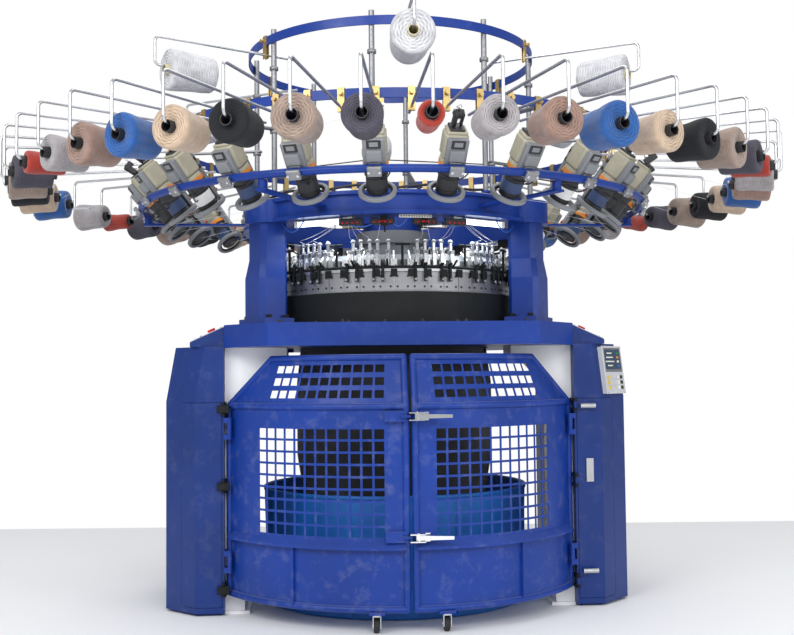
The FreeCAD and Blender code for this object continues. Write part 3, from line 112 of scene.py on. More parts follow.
def aim_camera():
    """A camera set by its place, heading, pitch and lean."""
    camera = bpy.data.objects.new("camera", bpy.data.cameras.new("camera"))
    bpy.context.scene.collection.objects.link(camera)
    camera.data.sensor_width = 36.0
    camera.data.lens = FOCAL
    place = Vector((-EYE_DISTANCE * math.sin(EYE_SIDE), -EYE_DISTANCE * math.cos(EYE_SIDE), EYE_HEIGHT))
    heading = EYE_SIDE + EYE_YAW
    flat = Vector((math.sin(heading), math.cos(heading), 0.0))
    forward = flat * math.cos(EYE_PITCH) + Vector((0, 0, math.sin(EYE_PITCH)))
    right = forward.cross(Vector((0, 0, 1))).normalized()
    up = right.cross(forward)
    right, up = (right * math.cos(EYE_ROLL) - up * math.sin(EYE_ROLL),
                 up * math.cos(EYE_ROLL) + right * math.sin(EYE_ROLL))
    turn = Matrix((right, up, -forward)).transposed().to_4x4()
    camera.matrix_world = Matrix.Translation(place) @ turn
    bpy.context.scene.camera = camera
    return flat


view_flat = aim_camera()
bpy.context.scene.view_settings.view_transform = "Standard"

# %% [markdown]
# ## Studio
# A pale floor ends behind the machine against white, and three large soft lamps give long soft
# highlights on the enamel. The floor is part of the stage and not of the machine.

# %% Floor and lights
def node_material(name):
    """A material with a bare Principled shader; returns the material, its nodes, a linker and the shader."""
    material = bpy.data.materials.new(name)
    material.use_nodes = True
    tree = material.node_tree
    shader = tree.nodes["Principled BSDF"]
    return material, tree.nodes, tree.links.new, shader


def lamp(name, size, energy, place, target, color=(1, 1, 1)):
    """A large soft area lamp that looks at a point."""
    data = bpy.data.lights.new(name, "AREA")
    data.shape = "RECTANGLE"
    data.size, data.size_y = size
    data.energy = energy
    data.color = color
    thing = bpy.data.objects.new(name, data)
    bpy.context.scene.collection.objects.link(thing)
    thing.location = place
    thing.rotation_euler = (Vector(target) - Vector(place)).to_track_quat("-Z", "Y").to_euler()
    return thing


def make_floor():
    side = Vector((view_flat.y, -view_flat.x, 0.0))
    back, front, half = 2.5, -9.0, 14.0
    corners = [view_flat * front - side * half, view_flat * front + side * half,
               view_flat * back + side * half, view_flat * back - side * half]
    mesh = bpy.data.meshes.new("studio_floor")
    mesh.from_pydata(corners, [], [(0, 1, 2, 3)])
    floor = bpy.data.objects.new("studio_floor", mesh)
    bpy.context.scene.collection.objects.link(floor)
    material, nodes, link, shader = node_material("studio_floor")
    grain = nodes.new("ShaderNodeTexNoise")
    grain.inputs["Scale"].default_value = 3.0
    ramp = nodes.new("ShaderNodeValToRGB")
    ramp.color_ramp.elements[0].color = (0.92, 0.92, 0.922, 1)
    ramp.color_ramp.elements[1].color = (0.95, 0.95, 0.952, 1)
    link(grain.outputs["Fac"], ramp.inputs["Fac"])
    link(ramp.outputs["Color"], shader.inputs["Base Color"])
    shader.inputs["Roughness"].default_value = 0.75
    mesh.materials.append(material)
    return floor


def make_world():
    world = bpy.data.worlds.new("studio")
    world.use_nodes = True
    tree = world.node_tree
    backdrop = tree.nodes["Background"]
    backdrop.inputs["Color"].default_value = (1, 1, 1, 1)
    backdrop.inputs["Strength"].default_value = 1.0
    ambient = tree.nodes.new("ShaderNodeBackground")
    ambient.inputs["Color"].default_value = (0.93, 0.96, 1.0, 1)
    ambient.inputs["Strength"].default_value = 0.50
    seen = tree.nodes.new("ShaderNodeLightPath")
    choose = tree.nodes.new("ShaderNodeMixShader")
    tree.links.new(seen.outputs["Is Camera Ray"], choose.inputs["Fac"])
    tree.links.new(ambient.outputs["Background"], choose.inputs[1])
    tree.links.new(backdrop.outputs["Background"], choose.inputs[2])
    tree.links.new(choose.outputs["Shader"], tree.nodes["World Output"].inputs["Surface"])
    bpy.context.scene.world = world


make_floor()
make_world()
lamp("key_lamp", (3.5, 3.0), 190, (-4.0, -5.0, 4.2), (0, 0, 1.2))
lamp("fill_lamp", (3.0, 3.0), 90, (4.6, -5.0, 2.6), (0, 0, 1.2))
lamp("front_lamp", (3.4, 1.8), 135, (0.3, -6.6, 4.0), (0, 0, 0.9))
lamp("top_lamp", (5.0, 5.0), 150, (0.5, 0.5, 6.0), (0, 0, 1.5))
print("stage ready")

# %% [markdown]
# ## Enamel
# The machine is painted in a deep blue gloss enamel. Real enamel is never even: the film has a
# faint orange-peel, the gloss drops where hands and cleaning cloths rub it, and dust settles in
# broad patches. Two noises do that: a wide one for shade and gloss, and a fine one for the bump.

# %% Noise helpers
def coordinates(nodes, link, scale=(1, 1, 1)):
    """Object coordinates with a scale; the machine's nodes share one frame in metres."""
    place = nodes.new("ShaderNodeTexCoord")
    mapping = nodes.new("ShaderNodeMapping")
    mapping.inputs["Scale"].default_value = scale
    link(place.outputs["Object"], mapping.inputs["Vector"])
    return mapping.outputs["Vector"]


def noise_at(nodes, link, vector, scale, detail=4.0, roughness=0.55):
    grain = nodes.new("ShaderNodeTexNoise")
    grain.inputs["Scale"].default_value = scale
    grain.inputs["Detail"].default_value = detail
    grain.inputs["Roughness"].default_value = roughness
    link(vector, grain.inputs["Vector"])
    return grain.outputs["Fac"]


def ramp_of(nodes, link, value, stops):
    """A colour ramp; each stop is a position and a colour or a grey value."""
    ramp = nodes.new("ShaderNodeValToRGB")
    elements = ramp.color_ramp.elements
    while len(elements) < len(stops):
        elements.new(0.5)
    for element, (position, color) in zip(elements, stops):
        element.position = position
        element.color = (color, color, color, 1) if isinstance(color, float) else (*color, 1)
    link(value, ramp.inputs["Fac"])
    return ramp.outputs["Color"]


def bump_from(nodes, link, shader, height, strength, distance):
    bump = nodes.new("ShaderNodeBump")
    bump.inputs["Strength"].default_value = strength
    bump.inputs["Distance"].default_value = distance
    link(height, bump.inputs["Height"])
    link(bump.outputs["Normal"], shader.inputs["Normal"])
    return bump


# %% Enamel
def enamel(name, color, gloss=0.32, dust=0.08, coat=0.08, peel=0.10, painted_top_light=0.0):
    """Sprayed enamel with orange-peel, uneven gloss, scuffs and dust patches; faces that look up are paled
    towards the dust colour as painted light on the tops.
    """
    material, nodes, link, shader = node_material(name)
    vector = coordinates(nodes, link)
    wide = noise_at(nodes, link, vector, 2.3, 5.0)
    fine = noise_at(nodes, link, vector, 260.0, 2.0)
    scuff = noise_at(nodes, link, vector, 14.0, 8.0, 0.7)
    dark = tuple(c * 0.86 for c in color)
    pale = tuple(min(1.0, c * 1.08) for c in color)
    shade = ramp_of(nodes, link, wide, [(0.35, dark), (0.65, pale)])
    dust_and_top_light = nodes.new("ShaderNodeMix")
    dust_and_top_light.data_type = "RGBA"
    patch = ramp_of(nodes, link, scuff, [(0.52, 0.0), (0.75, dust)])
    # Painted light: faces that look up are mixed towards the pale dust colour, standing for the light that
    # falls on the tops.
    facing = nodes.new("ShaderNodeSeparateXYZ")
    link(nodes.new("ShaderNodeNewGeometry").outputs["Normal"], facing.inputs["Vector"])
    top_light_mask = ramp_of(nodes, link, facing.outputs["Z"], [(0.75, 0.0), (0.98, painted_top_light)])
    either = nodes.new("ShaderNodeMath")
    either.operation = "MAXIMUM"
    link(patch, either.inputs[0])
    link(top_light_mask, either.inputs[1])
    link(either.outputs[0], dust_and_top_light.inputs["Factor"])
    link(shade, dust_and_top_light.inputs["A"])
    dust_and_top_light.inputs["B"].default_value = (*[0.5 * c + 0.22 for c in color], 1)
    link(dust_and_top_light.outputs["Result"], shader.inputs["Base Color"])
    rough = ramp_of(nodes, link, scuff, [(0.3, gloss), (0.72, gloss + 0.22)])
    link(rough, shader.inputs["Roughness"])
    shader.inputs["Specular IOR Level"].default_value = 0.32
    shader.inputs["Coat Weight"].default_value = coat
    shader.inputs["Coat Roughness"].default_value = 0.12
    bump_from(nodes, link, shader, fine, peel, 0.0008)
    return material


BLUE = (0.004, 0.037, 0.265)
materials = {
    "blue": enamel("blue_enamel", BLUE, painted_top_light=0.12),
    "door_blue": enamel("door_enamel", BLUE, gloss=0.36, dust=0.30, painted_top_light=0.42),
    # The cabinets get a darker copy of the frame's blue: the darker colour is painted shade on the low
    # cabinets.
    "cabinet_blue": enamel("cabinet_enamel_painted_shade", (0.004, 0.028, 0.175), dust=0.14, painted_top_light=0.12),
    "white": enamel("white_enamel", (0.90, 0.90, 0.91), gloss=0.4, dust=0.1, coat=0.1),
    "black": enamel("black_enamel", (0.004, 0.006, 0.007), gloss=0.55, dust=0.02, coat=0.02),
    "grey": enamel("grey_enamel", (0.23, 0.24, 0.255), gloss=0.38, dust=0.1, coat=0.1),
    "light_grey": enamel("light_grey_enamel", (0.60, 0.61, 0.64), gloss=0.35, dust=0.1, coat=0.15),
    "red": enamel("red_plastic", (0.62, 0.010, 0.012), gloss=0.25, dust=0.02),
    "green": enamel("green_plastic", (0.01, 0.24, 0.05), gloss=0.25, dust=0.02),
    "orange": enamel("orange_plastic", (0.80, 0.26, 0.03), gloss=0.35, dust=0.05),
    "yellow": enamel("yellow_plastic", (0.78, 0.58, 0.06), gloss=0.35, dust=0.05),
}
print("enamels:", sorted(materials))

# %% [markdown]
# ## Bare metals
# Turned steel shows fine rings, drawn zinc rod shows faint streaks along its length, and yellow
# zinc plating has slow patches of gold and green. One recipe with a stretched noise covers all.

# %% Metals
def metal(name, color, roughness=0.3, streak=(1, 1, 60), tint=0.12, bump=0.08):
    """Bare or plated metal; streak stretches the grain across the machine's axes."""
    material, nodes, link, shader = node_material(name)
    vector = coordinates(nodes, link, streak)
    grain = noise_at(nodes, link, vector, 6.0, 6.0, 0.6)
    cloud = noise_at(nodes, link, coordinates(nodes, link), 9.0, 4.0)
    low = tuple(c * (1 - tint) for c in color)
    shade = ramp_of(nodes, link, cloud, [(0.35, low), (0.7, color)])
    link(shade, shader.inputs["Base Color"])
    rough = ramp_of(nodes, link, grain, [(0.3, roughness), (0.75, roughness + 0.18)])
    link(rough, shader.inputs["Roughness"])
    shader.inputs["Metallic"].default_value = 1.0
    bump_from(nodes, link, shader, grain, bump, 0.0006)
    return material


materials.update({
    "steel": metal("turned_steel", (0.56, 0.57, 0.58), 0.32),
    "bright": metal("bright_steel", (0.72, 0.73, 0.74), 0.2, (30, 30, 1)),
    "chrome": metal("polished_chrome", (0.86, 0.87, 0.88), 0.08, (1, 1, 1), 0.05, 0.02),
    "zinc": metal("drawn_zinc", (0.66, 0.67, 0.69), 0.28, (1, 1, 30)),
    "gold_zinc": metal("yellow_zinc", (0.66, 0.48, 0.20), 0.34, (1, 1, 1), 0.3),
    "dull": metal("dull_aluminium", (0.34, 0.345, 0.36), 0.42, (1, 1, 20)),
})

# %% [markdown]
# ## Plastics, rubber, paper and glass
# Moulded housings have a fine spark-eroded grain, so their bump is small and even. The tube lights
# are the only pieces that shine by themselves.

# %% Plastics and the rest
def plastic(name, color, roughness=0.45, grain=500.0, variation=0.08):
    """Moulded plastic, rubber or paper with an even fine grain and slight shade changes."""
    material, nodes, link, shader = node_material(name)
    vector = coordinates(nodes, link)
    cloud = noise_at(nodes, link, vector, 20.0, 5.0)
    fine = noise_at(nodes, link, vector, grain, 2.0)
    low = tuple(c * (1 - variation * 2) for c in color)
    link(ramp_of(nodes, link, cloud, [(0.35, low), (0.68, color)]), shader.inputs["Base Color"])
    rough = ramp_of(nodes, link, cloud, [(0.3, roughness), (0.7, min(1.0, roughness + 0.15))])
    link(rough, shader.inputs["Roughness"])
    bump_from(nodes, link, shader, fine, 0.15, 0.0006)
    return material


def glowing(name, color, strength):
    material, nodes, link, shader = node_material(name)
    cloud = noise_at(nodes, link, coordinates(nodes, link), 12.0)
    dim = tuple(c * 0.9 for c in color)
    link(ramp_of(nodes, link, cloud, [(0.2, dim), (0.8, color)]), shader.inputs["Emission Color"])
    shader.inputs["Emission Strength"].default_value = strength
    shader.inputs["Base Color"].default_value = (*color, 1)
    return material


materials.update({
    "beige": plastic("beige_housing", (0.44, 0.41, 0.31), 0.42),
    "dark": plastic("dark_plastic", (0.018, 0.018, 0.022), 0.4),
    "rubber": plastic("tyre_rubber", (0.02, 0.02, 0.02), 0.7, 300.0),
    "paper": plastic("paper_core", (0.70, 0.64, 0.42), 0.8, 220.0),
    "navy": plastic("navy_spool", (0.03, 0.06, 0.16), 0.4),
    "screen": plastic("screen_glass", (0.02, 0.05, 0.10), 0.12, 60.0),
    "ivory": plastic("ivory_plastic", (0.78, 0.77, 0.70), 0.4),
    "air_hose": plastic("air_hose", (0.02, 0.12, 0.55), 0.3),
    "thread": plastic("white_thread", (0.85, 0.85, 0.84), 0.8, 900.0),
    "tube_light": glowing("tube_light", (0.84, 0.93, 1.0), 3.5),
})
print("materials so far:", len(materials))

# %% [markdown]
# ## Giving the construction nodes their finish
# Most construction nodes already have the right shape and only need a finish. The paper cores get
# two: the low ones, in the coloured cones, are dark, and the high ones are bare paper.

# %% Finish of carried-over nodes
FINISH = {
    "door_blue": ["left_door", "right_door"],
    "cabinet_blue": ["left_cabinet", "right_cabinet", "left_cabinet_door", "right_cabinet_door"],
    "blue": ["bed_plate", "left_column", "right_column", "back_column", "upper_plate",
             "feeder_ring", "feeder_arms", "creel_ring", "upper_ring", "upright_shaft", "door_hinges"],
    "white": ["left_leg", "right_leg", "back_leg"],
    "black": ["column_bolts", "cabinet_hinges", "gear_cover", "cam_levers", "stop_motion_boxes"],
    "grey": ["sinker_ring", "centre_drum", "oil_canister", "drive_motor"],
    "dull": ["creel_frame", "feeder_guide_rings"],
    "steel": ["cabinet_door_fittings", "needle_cylinder", "cam_ring", "drive_shaft", "motor_pulley"],
    "bright": ["yarn_guides", "left_caster_fork", "right_caster_fork"],
    "chrome": ["latch_bases", "upper_latch", "lower_latch"],
    "zinc": ["cone_rods"],
    "gold_zinc": ["creel_clamps"],
    "paper": ["cone_cores"],
    "light_grey": ["control_panels"],
    "red": ["left_stop_button", "right_stop_button"],
    "green": ["left_start_button", "right_start_button"],
    "rubber": ["left_caster_wheel", "right_caster_wheel", "drive_belt"],
}


def dress(node, material):
    """One material on a construction node, in place of what it came with."""
    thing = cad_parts[node]
    thing.data.materials.clear()
    thing.data.materials.append(material)


for finish, names in FINISH.items():
    for name in names:
        dress(name, materials[finish])
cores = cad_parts["cone_cores"]
cores.data.materials.append(materials["dark"])
low_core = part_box("cone_cores")[0].z + 0.2
for polygon in cores.data.polygons:
    middle = cores.matrix_world @ polygon.center
    polygon.material_index = 1 if middle.z < low_core else 0
print("dressed", sum(len(names) for names in FINISH.values()), "nodes")

# %% [markdown]
# ## Wound yarn
# A cone is one thread laid in crossing turns from end to end. Modelling the thread would take
# kilometres of it, so the body is turned on a lathe and the crossing turns come from two slanted
# waves in the material. The waves run over the turned body's own unrolled coordinates, so they
# follow the winding round each cone. The waves bump the surface and also darken the colour in their
# troughs, as painted shade between the turns.

# %% Yarn material
SEVEN_WAVES = 7 * 2 * math.pi / 10  # the wave repeats seven times round, so it meets at the seam


def yarn(name, color, fuzz=0.4, turns=26.0):
    """Cross-wound thread: two slanted wave patterns for bump and for painted shade in the grooves between
    turns, with slow random changes of tone.
    """
    material, nodes, link, shader = node_material(name)
    place = nodes.new("ShaderNodeTexCoord")
    heights = []
    for slant in (-1.0, 1.0):
        turn = nodes.new("ShaderNodeMapping")
        turn.inputs["Scale"].default_value = (SEVEN_WAVES * slant, turns, 1.0)
        link(place.outputs["UV"], turn.inputs["Vector"])
        wave = nodes.new("ShaderNodeTexWave")
        wave.bands_direction = "DIAGONAL"
        wave.inputs["Scale"].default_value = 1.0
        wave.inputs["Distortion"].default_value = 1.6
        wave.inputs["Detail"].default_value = 2.0
        link(turn.outputs["Vector"], wave.inputs["Vector"])
        heights.append(wave.outputs["Fac"])
    both = nodes.new("ShaderNodeMath")
    both.operation = "ADD"
    link(heights[0], both.inputs[0])
    link(heights[1], both.inputs[1])
    cloud = noise_at(nodes, link, coordinates(nodes, link), 16.0, 6.0, 0.7)
    # Painted shade: the colour darkens in the wave troughs between the crossing turns; the cloud adds random
    # tone.
    low = tuple(c * 0.52 for c in color)
    high = tuple(min(1.0, c * 1.1) for c in color)
    depth = nodes.new("ShaderNodeMath")
    depth.operation = "MULTIPLY_ADD"
    link(both.outputs[0], depth.inputs[0])
    depth.inputs[1].default_value = 0.26
    link(cloud, depth.inputs[2])
    link(ramp_of(nodes, link, depth.outputs[0], [(0.45, low), (1.0, high)]), shader.inputs["Base Color"])
    link(ramp_of(nodes, link, cloud, [(0.2, 0.82), (0.8, 0.98)]), shader.inputs["Roughness"])
    shader.inputs["Sheen Weight"].default_value = fuzz
    shader.inputs["Sheen Roughness"].default_value = 0.5
    bump_from(nodes, link, shader, both.outputs[0], 0.45, 0.0025)
    return material


YARN_COLORS = [
    ("red", (0.42, 0.035, 0.018), 0.050), ("light_grey", (0.40, 0.37, 0.38), 0.078),
    ("brown", (0.34, 0.21, 0.165), 0.086), ("blue", (0.012, 0.10, 0.36), 0.088),
    ("beige", (0.62, 0.46, 0.33), 0.086), ("black", (0.008, 0.009, 0.013), 0.084),
    ("light_brown", (0.36, 0.265, 0.215), 0.088), ("dark_grey", (0.075, 0.07, 0.095), 0.076),
]
for shade_name, color, _ in YARN_COLORS:
    fuzz = 0.06 if max(color) < 0.1 else 0.3
    materials["yarn_" + shade_name] = yarn("yarn_" + shade_name, color, fuzz)
materials["yarn_white"] = yarn("yarn_white", (0.70, 0.70, 0.73), 0.1)
print("yarn shades:", len(YARN_COLORS) + 1)

# %% [markdown]
# ## A kit for many small parts
# A machine like this has hundreds of small blocks, discs and pipes. Each is a few points and faces.
# Blocks get a small chamfer on every edge, because a sharp edge never catches a highlight and looks
# drawn instead of made.

# %% Small parts kit
class Kit:
    """Points, faces and finishes of many small shapes, kept in one local frame."""

    def __init__(self):
        self.points = []
        self.faces = []
        self.finish = []
        self.smooth = []
        self.uv = []

    def add(self, points, faces, finish, place=None, smooth=False, uv=None):
        first = len(self.points)
        self.points += [place @ Vector(p) if place else Vector(p) for p in points]
        self.faces += [tuple(first + i for i in face) for face in faces]
        self.finish += [finish] * len(faces)
        self.smooth += [smooth] * len(faces)
        self.uv += uv if uv else [[(0.0, 0.0)] * len(face) for face in faces]
        return self

    def block(self, size, centre, finish, place=None, chamfer=0.0015):
        """A block with chamfered edges."""
        half = Vector(size) / 2
        cut = min(chamfer, min(half) * 0.6)
        points, index = [], {}
        corners = list(itertools.product((-1, 1), repeat=3))
        for signs in corners:
            for axis in range(3):
                point = Vector([sign * reach for sign, reach in zip(signs, half)])
                for other in range(3):
                    if other != axis:
                        point[other] -= signs[other] * cut
                index[(*signs, axis)] = len(points)
                points.append(point + Vector(centre))
        faces = []
        for axis in range(3):
            for side in (-1, 1):
                ring = []
                for a, b in ((-1, -1), (1, -1), (1, 1), (-1, 1)):
                    key = [a, b]
                    key.insert(axis, side)
                    ring.append(index[(*key, axis)])
                faces.append(tuple(ring))
        for axis in range(3):
            first, second = [k for k in range(3) if k != axis]
            for a, b in itertools.product((-1, 1), repeat=2):
                ends = []
                for side in (-1, 1):
                    key = [0, 0, 0]
                    key[axis] = side
                    key[first] = a
                    key[second] = b
                    ends.append(tuple(key))
                faces.append((index[(*ends[0], first)], index[(*ends[1], first)],
                              index[(*ends[1], second)], index[(*ends[0], second)]))
        for signs in corners:
            faces.append(tuple(index[(*signs, axis)] for axis in range(3)))
        return self.add(points, faces, finish, place)

    def turned(self, profile, finish, place=None, around=24, smooth=True, ripple=None):
        """A lathe shape round the local Z; the profile lists radius and height."""
        points, faces, uv = [], [], []
        for radius, height in profile:
            for turn in range(around):
                angle = 2 * math.pi * turn / around
                r = radius + (ripple(angle, height) if ripple else 0.0)
                points.append((r * math.cos(angle), r * math.sin(angle), height))
        rows = len(profile)
        for step in range(rows - 1):
            for turn in range(around):
                after = (turn + 1) % around
                faces.append((step * around + turn, step * around + after,
                              (step + 1) * around + after, (step + 1) * around + turn))
                left, right = turn / around, (turn + 1) / around
                low, high = step / (rows - 1), (step + 1) / (rows - 1)
                uv.append([(left, low), (right, low), (right, high), (left, high)])
        return self.add(points, faces, finish, place, smooth, uv)

    def pipe(self, path, radius, finish, place=None, sides=8):
        """A round pipe along a list of points, closed at both ends."""
        path = [Vector(p) for p in path]
        points, faces = [], []
        for i, here in enumerate(path):
            ahead = (path[min(i + 1, len(path) - 1)] - path[max(i - 1, 0)]).normalized()
            guide = Vector((0, 0, 1)) if abs(ahead.z) < 0.9 else Vector((1, 0, 0))
            side = ahead.cross(guide).normalized()
            up = side.cross(ahead)
            for k in range(sides):
                angle = 2 * math.pi * k / sides
                points.append(here + (side * math.cos(angle) + up * math.sin(angle)) * radius)
        for i in range(len(path) - 1):
            for k in range(sides):
                after = (k + 1) % sides
                here, ahead = i * sides, (i + 1) * sides
                faces.append((here + k, here + after, ahead + after, ahead + k))
        faces.append(tuple(range(sides)))
        faces.append(tuple((len(path) - 1) * sides + k for k in range(sides)))
        return self.add(points, faces, finish, place, True)

    def copies(self, places):
        """The same parts again at each place."""
        result = Kit()
        for place in places:
            result.add(self.points, self.faces, None, place, False, self.uv)
            result.finish[-len(self.finish):] = self.finish
            result.smooth[-len(self.smooth):] = self.smooth
        return result

    def make(self, name, body="machine", takes=None, stands_for=()):
        """One object from everything collected; it rides on a body."""
        mesh = bpy.data.meshes.new(name)
        mesh.from_pydata([tuple(p) for p in self.points], [], self.faces)
        used = sorted(set(self.finish))
        for finish in used:
            mesh.materials.append(materials[finish])
        slots = {finish: k for k, finish in enumerate(used)}
        mesh.polygons.foreach_set("material_index", [slots[f] for f in self.finish])
        mesh.polygons.foreach_set("use_smooth", self.smooth)
        layer = mesh.uv_layers.new(name="unrolled")
        flat = [value for face in self.uv for pair in face for value in pair]
        layer.data.foreach_set("uv", flat)
        build = bmesh.new()
        build.from_mesh(mesh)
        bmesh.ops.recalc_face_normals(build, faces=build.faces)
        build.to_mesh(mesh)
        build.free()
        thing = bpy.data.objects.new(name, mesh)
        bpy.context.scene.collection.objects.link(thing)
        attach(thing, body)
        if stands_for:
            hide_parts(*stands_for)
        print(name, "faces:", len(self.faces))
        return thing


def at_bearing(bearing, radius=0.0, level=0.0, turn=0.0):
    """A place on a circle: local X points outwards. Bearings count from the front."""
    spin = Matrix.Rotation(math.radians(bearing - 90.0), 4, "Z")
    return spin @ shift(radius, 0, level) @ Matrix.Rotation(turn, 4, "Z")


def even(count, first=0.0):
    return [first + k * 360.0 / count for k in range(count)]


# %% [markdown]
# ## Yarn cones
# The cones hang level on the hooks with their noses towards the machine. Their ends are not flat:
# the turns near the ends stand a little proud and the end face dips towards the core. The profile
# has those rounded shoulders, and a faint ripple keeps each body from being perfectly round.

# %% Cones
CONE_R = 1.780
CONE_LEVEL = 2.010


def cone_profile(base, length, bore=0.0235):
    nose = base * 0.84
    half = length / 2
    rows = [(bore, -half + 0.010), (base * 0.55, -half + 0.004), (base - 0.012, -half),
            (base - 0.004, -half + 0.003), (base, -half + 0.010)]
    for k in range(1, 12):
        share = k / 12
        swell = 0.0012 * math.sin(share * 9.0)
        rows.append((base + (nose - base) * share + swell, -half + 0.010 + share * (length - 0.020)))
    rows += [(nose, half - 0.009), (nose - 0.004, half - 0.003), (nose - 0.012, half),
             (nose * 0.55, half - 0.003), (bore, half - 0.008)]
    return rows


def cone_place(bearing, radius, level):
    """Local Z along the cone's axis, towards the machine."""
    return at_bearing(bearing) @ shift(radius, 0, level) @ Matrix.Rotation(math.radians(-90), 4, "Y")


def wobble(seed):
    def ripple(angle, height):
        point = Vector((math.cos(angle) * 1.5 + seed, math.sin(angle) * 1.5, height * 18.0))
        return 0.0011 * noise.noise(point)
    return ripple


for shade, (shade_name, _, base) in enumerate(YARN_COLORS):
    cones = Kit()
    for hook in range(CONES):
        if hook % len(YARN_COLORS) == shade and hook != EMPTY_HOOK:
            scale = 0.94 + 0.06 * random.random()
            place = cone_place(hook * HOOK_STEP, CONE_R, CONE_LEVEL)
            profile = [(max(0.0235, r * scale) if r > 0.03 else r, z) for r, z in cone_profile(base, 0.170)]
            cones.turned(profile, "yarn_" + shade_name, place, 48, True, wobble(hook))
    cones.make("cones_" + shade_name, "machine", "yarn_mixed", ["yarn_cones"])

white = Kit()
for k in range(6):
    place = cone_place(k * 60.0, 1.120, 2.500)
    white.turned(cone_profile(0.095, 0.225), "yarn_white", place, 48, True, wobble(70 + k))
white.make("cones_white", "machine", "yarn_white", ["white_cones"])

# %% [markdown]
# ## Yarn feeders
# Twenty-four storage feeders sit on the round ring, tipped down towards the knitting head. Each has
# a moulded housing, an orange collar, a drum that stores yarn, a wide ring with a brush inside,
# a sensing arm over the drum and an intake bracket with tension discs at its upper end. One unit
# is built in its own frame and copied round the ring.

# %% Feeder unit
def feeder_unit(wound):
    """Local X runs to the drum's end and local Z away from the ring."""
    unit = Kit()
    lathe = ALONG_X
    unit.block((0.118, 0.098, 0.084), (-0.070, 0, 0.004), "beige", None, 0.012)
    unit.block((0.012, 0.086, 0.072), (-0.131, 0, 0.004), "beige", None, 0.008)
    unit.turned([(0.0, -0.014), (0.046, -0.014), (0.051, -0.010), (0.052, 0.002)], "beige", lathe, 32)
    unit.turned([(0.0525, 0.002), (0.0535, 0.005), (0.0535, 0.020), (0.0520, 0.023)], "orange", lathe, 32)
    unit.turned([(0.050, 0.023), (0.049, 0.030), (0.044, 0.042), (0.044, 0.060)], "dark", lathe, 32)
    for size, centre, finish, chamfer in (
            ((0.124, 0.088, 0.026), (-0.058, 0, -0.050), "grey", 0.004),
            ((0.036, 0.058, 0.004), (-0.100, 0, -0.0645), "dark", 0.001),
            ((0.020, 0.036, 0.003), (-0.100, 0, -0.0665), "grey", 0.001),
            ((0.048, 0.062, 0.020), (-0.052, 0, -0.070), "grey", 0.003),
            ((0.050, 0.050, 0.034), (0.0, 0, -0.060), "dull", 0.003),
            ((0.046, 0.060, 0.018), (0.0, 0, -0.104), "dull", 0.004),
    ):
        unit.block(size, centre, finish, None, chamfer)
    for y in (-0.022, 0.022):
        unit.turned([(0.0, -0.118), (0.006, -0.118), (0.006, -0.112)], "bright", shift(0, y, 0), 8, False)
        unit.pipe([(0, y * 1.05, -0.112), (0, y * 1.05, -0.045)], 0.004, "bright", None, 6)
    unit.turned([(0.0, 0.060), (0.050, 0.060), (0.050, 0.066), (0.046, 0.070), (0.044, 0.078)],
                "dark", lathe, 28)
    rows = [(0.044, 0.078)]
    for k in range(14):
        rows.append((0.0440 + (0.0012 if k % 2 else 0.0), 0.080 + k * 0.0036))
    unit.turned(rows, wound, lathe, 28)
    unit.turned([(0.0435, 0.130), (0.0455, 0.140), (0.046, 0.150), (0.030, 0.153), (0.0, 0.150)],
                "dark", lathe, 28)
    ring_profile = [(0.066, 0.142), (0.078, 0.142), (0.081, 0.146), (0.081, 0.158), (0.078, 0.162),
                    (0.066, 0.162), (0.064, 0.158), (0.064, 0.146), (0.066, 0.142)]
    unit.turned(ring_profile, "grey", lathe, 36)
    unit.turned([(0.064, 0.146), (0.056, 0.150), (0.055, 0.153), (0.064, 0.158)], "dark", lathe, 36)
    unit.block((0.250, 0.034, 0.014), (0.030, 0, 0.060), "grey", None, 0.003)
    unit.block((0.200, 0.026, 0.010), (0.020, 0, 0.071), "grey", None, 0.003)
    unit.block((0.012, 0.022, 0.040), (0.148, 0, 0.068), "grey", None, 0.002)
    for x in (-0.060, -0.020, 0.060):
        unit.block((0.016, 0.006, 0.012), (x, 0.019, 0.062), "dark", None, 0.001)
        unit.block((0.016, 0.006, 0.012), (x, -0.019, 0.062), "dark", None, 0.001)
    unit.block((0.090, 0.012, 0.010), (0.102, 0, 0.050), "dark", None, 0.002)
    unit.pipe([(0.030, 0.0, 0.052), (0.090, 0.0, 0.049), (0.125, 0.0, 0.052)], 0.0016, "bright", None, 6)
    unit.turned([(0.0, 0.086), (0.005, 0.085), (0.007, 0.080), (0.007, 0.074)], "red",
                shift(0.112, 0, 0), 10)
    intake(unit)
    return unit


def intake(unit):
    """The black bracket with an eye, two tension discs and a knot catcher at the housing's upper end."""
    unit.block((0.012, 0.062, 0.066), (-0.140, 0, 0.010), "dark", None, 0.003)
    lean = shift(-0.146, 0, 0.016) @ Matrix.Rotation(math.radians(-18), 4, "Y")
    unit.block((0.066, 0.016, 0.030), (-0.036, 0.014, 0.0), "dark", lean, 0.003)
    unit.block((0.066, 0.010, 0.022), (-0.036, -0.016, 0.0), "dark", lean, 0.003)
    unit.block((0.026, 0.046, 0.036), (-0.052, 0.0, 0.012), "dark", lean, 0.004)
    for y in (-0.006, 0.006):
        side = lean @ shift(-0.030, y, 0.022) @ ALONG_Y
        unit.turned([(0.0, 0.0), (0.013, 0.0005), (0.0145, 0.0020)], "chrome", side, 16)
    hoop = [(-0.074 + 0.010 * math.cos(a), 0.010 * math.sin(a), 0.030 + 0.004 * math.sin(2 * a))
            for a in [2 * math.pi * k / 12 for k in range(13)]]
    unit.pipe(hoop, 0.0016, "bright", lean, 6)
    unit.pipe([(-0.064, 0, 0.010), (-0.070, 0, 0.030)], 0.0022, "dark", lean, 6)


